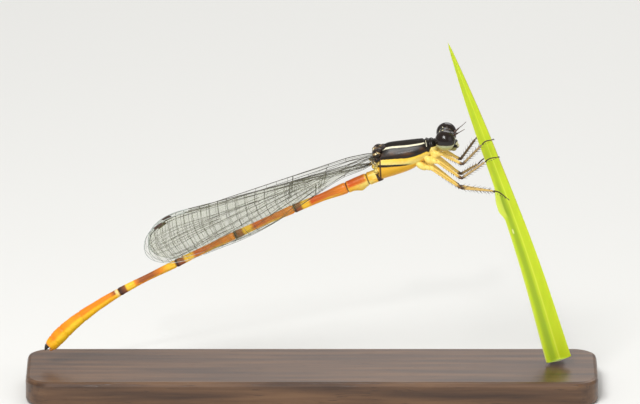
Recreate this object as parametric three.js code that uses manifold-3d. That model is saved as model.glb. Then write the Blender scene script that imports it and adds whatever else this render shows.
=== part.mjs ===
// A life-size male sprite damselfly, Argiocnemis rubescens, gripping a cut blade of grass on a display stand.
// Millimetres, +Z up, +X towards the head, and -Y towards the side that is seen first, the insect's right.
// The origin is the centre of the stand's underside.
import * as THREE from "three";
import { mergeVertices } from "three/addons/utils/BufferGeometryUtils.js";
import Module from "manifold-3d";

// Driving dimensions.
const GAP = 0.3;
const THINNEST = 0.5;
const SIDES = { right: -1, left: 1 };

const STAND = { length: 44, width: 8.4, height: 2, corner: 1.8, bevel: 0.3 };
STAND.rod = { radius: 0.6, clearance: 0.54, top: 8.2 };

const BLADE = { foot: [19.05, 2.35], bend: [16.3, 11.4], tip: [10.48, 28.05] };
BLADE.thickness = THINNEST;
BLADE.footWidth = 2.0;
BLADE.gripWidth = 1.0;
BLADE.gripAt = 0.64;
BLADE.tipWidth = 0.16;
BLADE.tipPower = 1.55;
BLADE.fold = 0.3;
// The curl in the near edge: it swells from low to full and falls away from fall to top, as ways along the blade.
BLADE.curl = { low: 0.43, full: 0.458, fall: 0.47, top: 0.53, out: 0.28 };

const HEAD = { centre: [10.23, 0, 20.52], yaw: -3.5, side: 0.6 };
// The lumps that make up the capsule, the face and the mouthparts: centres from the head's own, and radii.
HEAD.lumps = [
  [[-0.02, 0, 0.02], [0.56, 1.1, 0.64]],
  [[0.12, 0, -0.5], [0.6, 0.78, 0.52]],
  [[0.42, 0, -0.02], [0.38, 0.6, 0.4]],
  [[0.62, 0, -0.5], [0.34, 0.52, 0.27]],
  [[0.74, 0, -0.8], [0.33, 0.46, 0.24]],
  [[0.42, 0, -0.88], [0.42, 0.48, 0.24]],
];
HEAD.ocelli = { radius: 0.11, places: [[0.2, 0, 0.6], [-0.02, 0.26, 0.62], [-0.02, -0.26, 0.62]] };
const EYE = { radius: 0.78, spread: 1.0, inner: 0.9 };
const ANTENNA = { length: 1.0, root: 0.25, tip: 0.07, start: [0.86, 0.52, 0.36], aim: [0.72, 0.42, 0.56] };
ANTENNA.arch = new THREE.Vector3(0.06, 0, 0.04);

const PROTHORAX = { front: [9.45, 19.84], rear: [8.84, 19.74], height: 1.26, width: 1.3 };
PROTHORAX.lobes = { drawIn: 0.35, ripple: 0.1 };

const THORAX = { halfWidth: 1.0, rearWidth: 0.82, frontWidth: 0.66 };
THORAX.flank = { start: 0.22, power: 0.5 };
THORAX.section = { topTaper: 0.34, bottomTaper: 0.3, power: 0.8 };
THORAX.scutellum = [[5.55, 0, 19.8], [0.42, 0.42, 0.2]];
THORAX.top = [[5.2, 19.64], [5.75, 19.97], [7.1, 20.19], [8.42, 20.34]];
THORAX.bottom = [[5.3, 17.12], [6.6, 17.52], [7.8, 18.02], [8.98, 18.98]];

const ABDOMEN = { start: [4.94, 17.38], segments: [] };
// Each segment: its length, its pitch below level in degrees, and its height at its middle and its rear.
ABDOMEN.segments = [
  { length: 0.72, pitch: 22, middle: 1.0, rear: 0.98 },
  { length: 1.74, pitch: 23, middle: 0.96, rear: 0.88 },
  { length: 4.43, pitch: 23, middle: 0.66, rear: 0.66 },
  { length: 5.05, pitch: 25.3, middle: 0.56, rear: 0.62 },
  { length: 5.03, pitch: 26.8, middle: 0.54, rear: 0.6 },
  { length: 4.93, pitch: 28, middle: 0.52, rear: 0.62 },
  { length: 3.48, pitch: 34.2, middle: 0.74, rear: 0.9 },
  { length: 1.8, pitch: 41, middle: 1.0, rear: 1.08 },
  { length: 1.0, pitch: 47, middle: 1.12, rear: 1.08 },
  { length: 0.7, pitch: 50, middle: 1.02, rear: 0.88 },
];
ABDOMEN.widthShare = 0.88;
ABDOMEN.claspers = { length: 0.46, spread: 0.16, root: 0.25, tip: 0.12 };
// The swelling of the accessory organs under the second segment: its place along it, its reach and its depth.
ABDOMEN.swelling = { segment: 1, at: 0.4, reach: 0.2, depth: 0.2 };

const WING = { halfPetiole: 0.2, petiole: 0.1, leadRise: 1.6, trailDrop: 2.0, widest: 0.65, swellPower: 1.3 };
WING.tipFrom = 0.8;
WING.tipDrop = -0.45;
WING.tipPower = 2.2;
WING.tipBlunt = 0.05;
WING.tipThin = 0.45;
WING.bendOver = 2.2;
WING.ridge = 0.05;
WING.ridgeHalfWidth = 0.07;
WING.ridgeLength = 0.006;
WING.nodus = 0.335;
WING.nodusDown = 0.42;
// Where the main veins lie across the chord, from the trailing edge at 0 to the leading edge at 1.
WING.veins = { anal: 0.24, median: 0.42, sector: 0.62, radius: 0.84 };
// Each wing's pitch below level is its own, and the left roots sag: in the photo the sides aren't folded alike.
WING.pairs = {
  fore: { root: [4.62, 19.08], length: 18.9, rootSpread: 0.84, spread: 1.6, stigma: [0.89, 0.935] },
  hind: { root: [4.22, 18.34], length: 17.9, rootSpread: 0.6, spread: 0.8, stigma: [0.865, 0.915] },
};
WING.pairs.fore.pitch = { right: 22.0, left: 24.1 };
WING.pairs.hind.pitch = { right: 19.9, left: 20.6 };
WING.sag = { right: 0, left: 0.3 };
WING.hinge = { along: 0.5, across: 0.32, inward: 0.92 };

// Lumps that the legs start from: [x, distance from the middle, z] and radii.
const COXAE = {
  front: [[9.42, 0.4, 19.3], [0.34, 0.27, 0.3]],
  middle: [[9.0, 0.5, 18.72], [0.38, 0.28, 0.26]],
  hind: [[8.45, 0.46, 18.26], [0.46, 0.3, 0.27]],
};

const LEG = { femur: 0.27, knee: 0.25, ankle: 0.25, tarsus: 0.2, claw: 0.07, clawPower: 1.5, arch: 0.06 };
// Each leg's hip, knee, ankle and claw: [x, distance from the middle, z].
LEG.joints = {
  front_right: [[10.0, 0.66, 19.3], [11.5, 1.2, 18.66], [12.96, 0.85, 20.1], [13.9, 0.75, 20.56]],
  front_left: [[10.0, 0.66, 19.26], [11.38, 1.05, 18.34], [12.5, 0.82, 20.05], [13.45, 0.75, 20.65]],
  middle_right: [[9.7, 0.72, 18.68], [11.42, 1.2, 17.52], [13.2, 0.85, 18.72], [14.35, 0.75, 19.12]],
  middle_left: [[9.7, 0.72, 18.6], [11.4, 1.2, 17.11], [12.7, 0.85, 18.02], [13.75, 0.75, 18.75]],
  hind_right: [[9.22, 0.7, 18.14], [11.42, 1.3, 16.78], [13.86, 0.85, 16.42], [14.95, 0.75, 15.76]],
  hind_left: [[9.18, 0.7, 18.0], [11.3, 1.1, 16.2], [13.76, 0.85, 15.86], [14.75, 0.75, 15.1]],
};

const COLOURS = {
  black: 0x15120f,
  eye: 0x1c130e,
  yellow: 0xf0cf3a,
  leg: 0xe9c25a,
  tarsus: 0x3a2c16,
  orange: 0xe0701c,
  tail: 0xf2a21c,
  membrane: 0x9aa05a,
  grass: 0xb6d811,
  wood: 0x4a3122,
  steel: 0x9a9c9f,
};
const FINISH = {
  shell: { roughness: 0.4, metalness: 0 },
  gloss: { roughness: 0.12, metalness: 0 },
  leaf: { roughness: 0.55, metalness: 0 },
  wood: { roughness: 0.6, metalness: 0 },
  steel: { roughness: 0.3, metalness: 1 },
};

const wasm = await Module();
wasm.setup();

// Solids and meshes.

// The geometry with its positions alone, its shared vertices merged and its faces pointing out.
function closed(geometry) {
  const bare = new THREE.BufferGeometry().setAttribute("position", geometry.getAttribute("position").clone());
  if (geometry.index) bare.setIndex(geometry.index.clone());
  const merged = mergeVertices(bare, 1e-4);
  if (signedVolume(merged) < 0) {
    const index = merged.index.array;
    for (let i = 0; i < index.length; i += 3) [index[i + 1], index[i + 2]] = [index[i + 2], index[i + 1]];
  }
  return merged;
}

function signedVolume(geometry) {
  const position = geometry.getAttribute("position");
  const index = geometry.index.array;
  const [a, b, c] = [new THREE.Vector3(), new THREE.Vector3(), new THREE.Vector3()];
  let six = 0;
  for (let i = 0; i < index.length; i += 3) {
    a.fromBufferAttribute(position, index[i]);
    b.fromBufferAttribute(position, index[i + 1]);
    c.fromBufferAttribute(position, index[i + 2]);
    six += a.dot(b.cross(c));
  }
  return six / 6;
}

function toSolid(geometry) {
  const source = closed(geometry);
  const mesh = new wasm.Mesh({
    numProp: 3,
    vertProperties: new Float32Array(source.getAttribute("position").array),
    triVerts: new Uint32Array(source.index.array),
  });
  return new wasm.Manifold(mesh);
}

function fromSolid(solid) {
  const mesh = solid.getMesh();
  return new THREE.BufferGeometry()
    .setAttribute("position", new THREE.BufferAttribute(mesh.vertProperties, 3))
    .setIndex(new THREE.BufferAttribute(mesh.triVerts, 1));
}

// Joins the geometries into one closed body and keeps the largest.
function fuse(geometries) {
  const joined = geometries.map(toSolid).reduce((sum, next) => sum.add(next));
  return fromSolid(joined.decompose().sort((a, b) => b.volume() - a.volume())[0]);
}

function cut(geometry, tools) {
  const left = tools.map(toSolid).reduce((sum, tool) => sum.subtract(tool), toSolid(geometry));
  return fromSolid(left.decompose().sort((a, b) => b.volume() - a.volume())[0]);
}

// A capped tube, its points placed by a function of the way along, the angle and the share of the radius.
function warpedTube(sides, rings, place) {
  const geometry = new THREE.CylinderGeometry(1, 1, 1, sides, rings);
  const position = geometry.getAttribute("position");
  const point = new THREE.Vector3();
  for (let i = 0; i < position.count; i++) {
    point.fromBufferAttribute(position, i);
    const placed = place(0.5 - point.y, Math.atan2(point.x, point.z), Math.hypot(point.x, point.z));
    position.setXYZ(i, placed.x, placed.y, placed.z);
  }
  return closed(geometry);
}

const sideways = new THREE.Vector3(0, 1, 0);

// A tube along a curve. section(way, angle) gives its reach across the body and its reach upwards.
function sweep(curve, sides, rings, section) {
  return warpedTube(sides, rings, (way, angle, share) => {
    const tangent = curve.getTangentAt(way);
    const across = sideways.clone().addScaledVector(tangent, -sideways.dot(tangent)).normalize();
    const up = new THREE.Vector3().crossVectors(tangent, across);
    if (up.z < 0) up.negate();
    const [a, b] = section(way, angle);
    return curve.getPointAt(way).addScaledVector(across, a * share).addScaledVector(up, b * share);
  });
}

const ring = (across, up, angle) => [across * Math.cos(angle), up * Math.sin(angle)];
const roundSection = (radiusAt) => (way, angle) => ring(radiusAt(way), radiusAt(way), angle);

function ellipsoid(centre, radii, columns = 14, rows = 10) {
  return new THREE.SphereGeometry(1, columns, rows).scale(...radii).translate(...centre);
}

const point3 = (plane, y = 0) => new THREE.Vector3(plane[0], y, plane[1]);
const mix = THREE.MathUtils.lerp;
const ease = (value) => THREE.MathUtils.smoothstep(value, 0, 1);
const pitchVector = (degrees) => {
  const angle = THREE.MathUtils.degToRad(degrees);
  return new THREE.Vector3(-Math.cos(angle), 0, -Math.sin(angle));
};

const model = new THREE.Group();

function addNode(parent, name, geometry, colour, finish) {
  const mesh = new THREE.Mesh(geometry, new THREE.MeshStandardMaterial({ color: colour, ...finish }));
  mesh.name = name;
  parent.add(mesh);
}

// The stand: a flat base and one short rod up the back of the blade's foot.

const bladeCurve = new THREE.CatmullRomCurve3([point3(BLADE.foot), point3(BLADE.bend), point3(BLADE.tip)]);

function roundedPlate({ length, width, height, corner, bevel }) {
  const [x, y] = [length / 2 - bevel, width / 2 - bevel];
  const r = corner - bevel;
  const outline = new THREE.Shape();
  const corners = [[x - r, y - r, 0], [r - x, y - r, 0.5], [r - x, r - y, 1], [x - r, r - y, 1.5]];
  for (const [cx, cy, turn] of corners) outline.absarc(cx, cy, r, turn * Math.PI, (turn + 0.5) * Math.PI);
  const settings = { depth: height - 2 * bevel, curveSegments: 8 };
  Object.assign(settings, { bevelThickness: bevel, bevelSize: bevel, bevelSegments: 2 });
  return closed(new THREE.ExtrudeGeometry(outline, settings).translate(0, 0, bevel));
}

function buildStand() {
  addNode(model, "stand_base", roundedPlate(STAND), COLOURS.wood, FINISH.wood);
  const slope = bladeCurve.getTangentAt(0);
  const { radius, clearance, top } = STAND.rod;
  const behind = BLADE.thickness / 2 + BLADE.fold + GAP + radius;
  const rise = (z) => (z - BLADE.foot[1]) / slope.z;
  const onBlade = (z) => point3(BLADE.foot, behind).addScaledVector(slope, rise(z)).setY(behind);
  const line = new THREE.LineCurve3(onBlade(STAND.height + clearance), onBlade(top));
  const rod = sweep(line, 12, 1, roundSection(() => radius));
  addNode(model, "stand_rod", rod, COLOURS.steel, FINISH.steel);
}

// The blade of grass, folded along its midrib, with the small curl in its near edge.

function bladeHalfWidth(way) {
  const foot = Math.min(way / BLADE.gripAt, 1);
  const body = mix(BLADE.footWidth, BLADE.gripWidth, foot);
  const tip = Math.max(0, (way - BLADE.gripAt) / (1 - BLADE.gripAt));
  return mix(body, BLADE.tipWidth, tip ** BLADE.tipPower) / 2;
}

// How far the curl pushes the near edge out.
function bladeCurl(way) {
  const { low, full, fall, top, out } = BLADE.curl;
  return out * THREE.MathUtils.smoothstep(way, low, full) * (1 - THREE.MathUtils.smoothstep(way, fall, top));
}

function buildBlade() {
  const lengthSteps = 38;
  // Six corners of a folded strip: [side, share of the fold, front or back].
  const corners = [[1, 0, 1], [0, 1, 1], [-1, 0, 1], [-1, 0, -1], [0, 1, -1], [1, 0, -1]];
  const blade = warpedTube(corners.length, lengthSteps, (way, angle, share) => {
    const turn = Math.round((angle / (2 * Math.PI)) * corners.length + corners.length) % corners.length;
    const [side, foldShare, face] = corners[turn];
    const half = bladeHalfWidth(way);
    const out = side * (half + (side < 0 ? bladeCurl(way) : 0));
    const fold = BLADE.fold * (half / BLADE.footWidth) * 2 * (share ? foldShare : 0.5);
    const thick = (BLADE.thickness / 2) * Math.min(1, 0.3 + half * 2.5);
    const tangent = bladeCurve.getTangentAt(way);
    const across = new THREE.Vector3(tangent.z, 0, -tangent.x);
    const depth = fold - face * thick * share;
    return bladeCurve.getPointAt(way).addScaledVector(across, out * share).setY(depth);
  });
  addNode(model, "perch_blade", blade, COLOURS.grass, FINISH.leaf);
}

// The head: a capsule between two round eyes, with its face, mouthparts, three ocelli and two antennae.

function buildHead() {
  const head = new THREE.Group();
  head.position.set(...HEAD.centre);
  head.rotation.z = THREE.MathUtils.degToRad(HEAD.yaw);
  model.add(head);
  const box = new THREE.BoxGeometry(4, 2, 4);
  const outside = [1, -1].map((side) => box.clone().translate(0, side * (HEAD.side + 1), 0));
  const ocelli = HEAD.ocelli.places.map((place) => ellipsoid(place, Array(3).fill(HEAD.ocelli.radius), 8, 6));
  const capsule = fuse([...HEAD.lumps.map(([centre, radii]) => ellipsoid(centre, radii)), ...ocelli]);
  addNode(head, "head", cut(capsule, outside), COLOURS.black, FINISH.shell);
  for (const [sideName, side] of Object.entries(SIDES)) {
    const ball = ellipsoid([0, side * EYE.spread, 0], Array(3).fill(EYE.radius), 20, 14);
    const inner = box.clone().translate(0, side * (EYE.inner - 1), 0);
    addNode(head, `eye_${sideName}`, cut(ball, [inner]), COLOURS.eye, FINISH.gloss);
    addNode(head, `antenna_${sideName}`, antenna(side), COLOURS.black, FINISH.shell);
  }
}

function antenna(side) {
  const mirrored = ([x, y, z]) => new THREE.Vector3(x, side * y, z);
  const root = mirrored(ANTENNA.start);
  const aim = mirrored(ANTENNA.aim).normalize();
  const middle = root.clone().addScaledVector(aim, ANTENNA.length / 2).add(ANTENNA.arch);
  const curve = new THREE.CatmullRomCurve3([root, middle, root.clone().addScaledVector(aim, ANTENNA.length)]);
  return sweep(curve, 8, 6, roundSection((way) => mix(ANTENNA.root, ANTENNA.tip, Math.min(1, way * 1.6))));
}

// The prothorax, a short collar with a raised rear lobe, and the slanted synthorax with the four wing hinges.

function buildThorax() {
  const collarLine = new THREE.LineCurve3(point3(PROTHORAX.rear), point3(PROTHORAX.front));
  const collar = sweep(collarLine, 16, 4, (way, angle) => {
    const { drawIn, ripple } = PROTHORAX.lobes;
    const swell = 1 - drawIn * (2 * way - 1) ** 2 + ripple * Math.cos(way * 3 * Math.PI);
    return ring((PROTHORAX.width / 2) * swell, (PROTHORAX.height / 2) * swell, angle);
  });
  addNode(model, "prothorax", fuse([collar, ...coxae("front")]), COLOURS.black, FINISH.shell);

  const top = new THREE.CatmullRomCurve3(THORAX.top.map((p) => point3(p)));
  const bottom = new THREE.CatmullRomCurve3(THORAX.bottom.map((p) => point3(p)));
  const shell = warpedTube(22, 14, (way, angle, share) => {
    const low = bottom.getPoint(way);
    const high = top.getPoint(way);
    const flank = Math.sin(Math.PI * mix(THORAX.flank.start, 1, way)) ** THORAX.flank.power;
    const ends = mix(THORAX.rearWidth, THORAX.frontWidth, way);
    const half = mix(ends, THORAX.halfWidth, flank);
    const rise = Math.sin(angle) * share;
    const { topTaper, bottomTaper, power } = THORAX.section;
    const taper = 1 - topTaper * Math.max(0, rise) ** 2 - bottomTaper * Math.max(0, -rise) ** 2;
    const bulge = Math.sign(Math.cos(angle)) * Math.abs(Math.cos(angle)) ** power * share;
    return low.clone().lerp(high, 0.5 + 0.5 * rise).setY(half * taper * bulge);
  });
  const pieces = [shell, ellipsoid(...THORAX.scutellum), ...coxae("middle"), ...coxae("hind")];
  for (const pair of Object.values(WING.pairs)) {
    for (const sideName of Object.keys(SIDES)) pieces.push(wingHinge(pair, sideName));
  }
  addNode(model, "thorax", fuse(pieces), COLOURS.yellow, FINISH.shell);
}

function coxae(legName) {
  const [[x, out, z], radii] = COXAE[legName];
  return Object.values(SIDES).map((side) => ellipsoid([x, side * out, z], radii, 12, 8));
}

const wingRoot = (pair, sideName) => point3([pair.root[0], pair.root[1] - WING.sag[sideName]]);

// The knob that a wing swings on, one gap ahead of the wing's root and sunk into the thorax.
function wingHinge(pair, sideName) {
  const pitch = pair.pitch[sideName];
  const away = SIDES[sideName] * pair.rootSpread * WING.hinge.inward;
  const centre = wingRoot(pair, sideName).setY(away).addScaledVector(pitchVector(pitch), -GAP - WING.hinge.along);
  const { along, across } = WING.hinge;
  const knob = new THREE.SphereGeometry(1, 12, 8).scale(along, across, across);
  knob.rotateY(-THREE.MathUtils.degToRad(pitch));
  return knob.translate(centre.x, centre.y, centre.z);
}

// The abdomen: ten segments laid end to end, each turned down by its own pitch, and the claspers.

function buildAbdomen() {
  const here = point3(ABDOMEN.start);
  let front = ABDOMEN.segments[0].middle;
  ABDOMEN.segments.forEach((segment, index) => {
    const along = pitchVector(segment.pitch);
    const start = here.clone().addScaledVector(along, index ? GAP / 2 : 0);
    const end = here.clone().addScaledVector(along, segment.length - GAP / 2);
    const [fore, middle, rear] = [front, segment.middle, segment.rear];
    const heightAt = (way) => mix(mix(fore, middle, ease(way * 2)), rear, ease(way * 2 - 1));
    const body = sweep(new THREE.LineCurve3(start, end), 14, index === 1 ? 8 : 5, (way, angle) => {
      const half = heightAt(way) / 2;
      const [across, up] = ring(half * ABDOMEN.widthShare, half, angle);
      return [across, up + (index === ABDOMEN.swelling.segment ? swelling(way, angle) : 0)];
    });
    const colour = index > 5 ? COLOURS.tail : COLOURS.orange;
    addNode(model, `abdomen_${String(index + 1).padStart(2, "0")}`, body, colour, FINISH.shell);
    here.addScaledVector(along, segment.length);
    front = segment.rear;
  });
  addNode(model, "claspers", claspers(here), COLOURS.black, FINISH.shell);
}

function swelling(way, angle) {
  const { at, reach, depth } = ABDOMEN.swelling;
  return -depth * Math.max(0, -Math.sin(angle)) ** 3 * Math.exp(-(((way - at) / reach) ** 2));
}

// Two upper and two lower claspers, set round the end of the tail and bent in at their tips.
function claspers(tail) {
  const { length, spread, root, tip } = ABDOMEN.claspers;
  const aim = pitchVector(ABDOMEN.segments.at(-1).pitch);
  const up = new THREE.Vector3(aim.z, 0, -aim.x);
  const base = tail.clone().addScaledVector(aim, GAP / 2);
  const prongs = [];
  for (const side of Object.values(SIDES)) {
    for (const level of [1, -1]) {
      const at = (way, out, high) =>
        base.clone().addScaledVector(aim, way * length).addScaledVector(up, level * high * spread)
          .setY(side * out * spread);
      const curve = new THREE.CatmullRomCurve3([at(0, 0.8, 1), at(0.55, 1.1, 1.15), at(1, 0.8, 0.7)]);
      prongs.push(sweep(curve, 8, 4, roundSection((way) => mix(root, tip, way))));
    }
  }
  return fuse(prongs);
}

// The wings: thin plates with the main veins, the nodus and the stigma raised in their own surface.

function wingStations(pair) {
  const steps = 14;
  const tipSteps = 8;
  const stations = [];
  for (let i = 0; i < steps; i++) stations.push((i / steps) ** 1.15 * WING.tipFrom);
  for (let i = 0; i < tipSteps; i++) {
    stations.push(mix(WING.tipFrom, 1, Math.sin((i / (tipSteps - 1)) * (Math.PI / 2))));
  }
  const edge = WING.ridgeLength;
  const [near, far] = pair.stigma;
  const fixed = [WING.nodus - edge, WING.nodus, WING.nodus + edge, near, near + edge, far - edge, far];
  const clear = stations.filter((way) => fixed.every((other) => Math.abs(other - way) > edge * 1.5));
  return [...clear, ...fixed].sort((a, b) => a - b);
}

function wingRows() {
  const rows = [{ at: 0, out: 0 }, { at: 0, out: 1 }];
  for (const at of Object.values(WING.veins)) rows.push({ at, out: -1 }, { at, out: 0 }, { at, out: 1 });
  return [...rows, { at: 1, out: -1 }, { at: 1, out: 0 }];
}

function wingEdges(way) {
  const rise = Math.max(0, (way - WING.petiole) / (WING.widest - WING.petiole));
  const swell = Math.sin((Math.PI / 2) * Math.min(1, rise)) ** WING.swellPower;
  const trail = -(WING.halfPetiole + WING.trailDrop * swell);
  const lead = WING.halfPetiole + WING.leadRise * way;
  const past = Math.max(0, (way - WING.tipFrom) / (1 - WING.tipFrom));
  const round = Math.max(WING.tipBlunt, (1 - past ** WING.tipPower) ** 0.5);
  return [mix(WING.tipDrop, trail, round), mix(WING.tipDrop, lead, round)];
}

function wingPlate(pair, sideName) {
  const side = SIDES[sideName];
  const along = pitchVector(pair.pitch[sideName]);
  const up = new THREE.Vector3(along.z, 0, -along.x);
  const [stations, rows] = [wingStations(pair), wingRows()];
  const vertices = [];
  for (const face of [1, -1]) {
    for (const way of stations) {
      const [trail, lead] = wingEdges(way);
      const chord = lead - trail;
      const bend = ease((way * pair.length) / WING.bendOver);
      const middle = side * mix(pair.rootSpread, pair.spread, bend);
      const thin = mix(1, WING.tipThin, Math.max(0, (way - WING.tipFrom) / (1 - WING.tipFrom)) ** 2);
      for (const row of rows) {
        const at = row.at + row.out * Math.min(WING.ridgeHalfWidth / chord, 0.05);
        const half = (THINNEST / 2) * thin + (isRaised(pair, way, at, row.out) ? WING.ridge : 0);
        const point = wingRoot(pair, sideName).addScaledVector(along, way * pair.length);
        point.addScaledVector(up, mix(trail, lead, at));
        vertices.push(point.x, middle + face * half, point.z);
      }
    }
  }
  const geometry = new THREE.BufferGeometry();
  geometry.setAttribute("position", new THREE.Float32BufferAttribute(vertices, 3));
  return closed(geometry.setIndex(plateFaces(stations.length, rows.length)));
}

// True on a vein's crest, on the crossing rib at the nodus and on the stigma behind the leading edge.
function isRaised(pair, way, at, out) {
  const onNodus = way === WING.nodus && at > WING.nodusDown;
  const [near, far] = pair.stigma;
  const onStigma = way > near && way < far && at > WING.veins.radius;
  return out === 0 || onNodus || onStigma;
}

// Triangles of a plate with two like faces of stations by rows, and the rim that joins them.
function plateFaces(stations, rows) {
  const index = [];
  const front = (i, j) => i * rows + j;
  const back = (i, j) => stations * rows + i * rows + j;
  const quad = (a, b, c, d) => index.push(a, b, c, a, c, d);
  for (let i = 0; i + 1 < stations; i++) {
    for (let j = 0; j + 1 < rows; j++) {
      quad(front(i, j), front(i, j + 1), front(i + 1, j + 1), front(i + 1, j));
      index.push(back(i, j), back(i + 1, j + 1), back(i, j + 1));
      index.push(back(i, j), back(i + 1, j), back(i + 1, j + 1));
    }
    quad(front(i, 0), front(i + 1, 0), back(i + 1, 0), back(i, 0));
    quad(front(i + 1, rows - 1), front(i, rows - 1), back(i, rows - 1), back(i + 1, rows - 1));
  }
  const end = stations - 1;
  for (let j = 0; j + 1 < rows; j++) {
    quad(front(0, j + 1), front(0, j), back(0, j), back(0, j + 1));
    quad(front(end, j), front(end, j + 1), back(end, j + 1), back(end, j));
  }
  return index;
}

function buildWings() {
  for (const [pairName, pair] of Object.entries(WING.pairs)) {
    for (const sideName of Object.keys(SIDES)) {
      const name = `wing_${pairName}_${sideName}`;
      addNode(model, name, wingPlate(pair, sideName), COLOURS.membrane, FINISH.gloss);
    }
  }
}

// The legs: each a femur, a tibia and a tarsus with its claw.

function buildLegs() {
  for (const [name, joints] of Object.entries(LEG.joints)) {
    const side = name.endsWith("right") ? SIDES.right : SIDES.left;
    const [hip, knee, ankle, claw] = joints.map(([x, out, z]) => new THREE.Vector3(x, side * out, z));
    const thigh = new THREE.LineCurve3(hip, shortOf(hip, knee, GAP / 2));
    const thighRadius = (way) => mix(LEG.femur, LEG.knee, way);
    addNode(model, `${name}_femur`, sweep(thigh, 8, 4, roundSection(thighRadius)), COLOURS.leg, FINISH.shell);

    const shin = new THREE.LineCurve3(shortOf(ankle, knee, GAP / 2), shortOf(knee, ankle, GAP / 2));
    const shinRadius = (way) => mix(LEG.knee, LEG.ankle, way);
    addNode(model, `${name}_tibia`, sweep(shin, 8, 3, roundSection(shinRadius)), COLOURS.leg, FINISH.shell);

    const arch = shortOf(claw, ankle, GAP / 2);
    const middle = arch.clone().lerp(claw, 0.45).add(new THREE.Vector3(0, 0, LEG.arch));
    const foot = new THREE.CatmullRomCurve3([arch, middle, claw]);
    const footRadius = (way) => mix(LEG.tarsus, LEG.claw, way ** LEG.clawPower);
    const tarsus = sweep(foot, 8, 6, roundSection(footRadius));
    addNode(model, `${name}_tarsus`, tarsus, COLOURS.tarsus, FINISH.shell);
  }
}

// The point a given distance before end, on the way there from start.
function shortOf(start, end, distance) {
  return end.clone().addScaledVector(end.clone().sub(start).normalize(), -distance);
}

buildStand();
buildBlade();
buildHead();
buildThorax();
buildAbdomen();
buildWings();
buildLegs();

export default model;
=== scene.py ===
"""A damselfly on its blade of grass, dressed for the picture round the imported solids.

Pieces are modelled in millimetres, one Blender unit to a millimetre, and brought to metres when they are
placed. +X runs towards the insect's head, -Y towards its right side, which is seen first, and +Z is up.
"""

from __future__ import annotations

import logging
import math
import random
from dataclasses import dataclass, field
from enum import Enum
from typing import Callable, Sequence

import bpy
import numpy as np
from bpy.types import Material, Node, NodeSocket, Object
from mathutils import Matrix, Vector
from mathutils.kdtree import KDTree

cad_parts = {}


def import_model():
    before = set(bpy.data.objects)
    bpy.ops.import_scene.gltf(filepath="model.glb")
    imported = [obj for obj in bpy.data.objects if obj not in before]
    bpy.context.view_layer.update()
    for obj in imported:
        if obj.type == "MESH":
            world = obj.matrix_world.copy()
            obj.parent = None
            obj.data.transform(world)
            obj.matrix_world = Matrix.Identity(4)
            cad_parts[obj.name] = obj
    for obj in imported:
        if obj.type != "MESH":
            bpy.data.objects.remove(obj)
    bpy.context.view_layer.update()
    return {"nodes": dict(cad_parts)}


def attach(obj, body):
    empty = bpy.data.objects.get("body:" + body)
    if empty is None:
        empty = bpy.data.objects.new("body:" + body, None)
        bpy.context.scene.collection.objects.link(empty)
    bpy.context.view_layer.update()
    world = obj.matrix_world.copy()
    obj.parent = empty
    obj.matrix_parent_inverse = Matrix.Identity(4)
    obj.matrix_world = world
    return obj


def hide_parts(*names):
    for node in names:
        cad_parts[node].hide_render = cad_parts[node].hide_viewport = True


LOG = logging.getLogger("damselfly")

MM = 0.001
BODY = "root"

# A length too small to matter, the step of the way over which a line's direction is taken, the gap under
# which two vertices become one, and the steps that a line's length is measured in.
TINY = 1e-6
WAY_STEP = 0.002
WELD = 0.0005
PATH_STEPS = 200

Span = tuple[float, float]
Spot = tuple[float, float, float]
Place = Callable[[float, float], Vector]
Mark = Callable[[float, float], float]
Section = Callable[[float, float], Span]
Path = Callable[[float], Vector]

CENTRE = Vector((0.0, 0.0, 0.0))


class Side(Enum):
    """The insect's own sides, by the sign of Y on each."""

    RIGHT = -1
    LEFT = 1

    @property
    def word(self) -> str:
        """The side's name as the solids' names spell it."""
        return self.name.lower()


# Small sums.


def mix(start: float, end: float, share: float) -> float:
    """The value a share of the way from start to end."""
    return start + (end - start) * share


def ease(value: float) -> float:
    """A smooth step from 0 to 1 while value goes from 0 to 1."""
    held = min(max(value, 0.0), 1.0)
    return held * held * (3.0 - 2.0 * held)


def cosine_ease(value: float) -> float:
    """A half wave from 0 to 1, slow at both ends, while value goes from 0 to 1."""
    return 0.5 - 0.5 * math.cos(value * math.pi)


def stretch(value: float, low: float, high: float) -> float:
    """Where value lies between low and high, held between 0 and 1."""
    return min(max((value - low) / (high - low), 0.0), 1.0)


def bell(value: float, centre: float, reach: float) -> float:
    """A smooth hump of height 1 at centre."""
    return math.exp(-(((value - centre) / reach) ** 2))


def level_spot(spot: Span) -> Vector:
    """The place in the middle plane at [x, z]."""
    return Vector((spot[0], 0.0, spot[1]))


def down_pitch(degrees: float) -> Vector:
    """The direction towards the tail, turned down by an angle below level."""
    angle = math.radians(degrees)
    return Vector((-math.cos(angle), 0.0, -math.sin(angle)))


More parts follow.
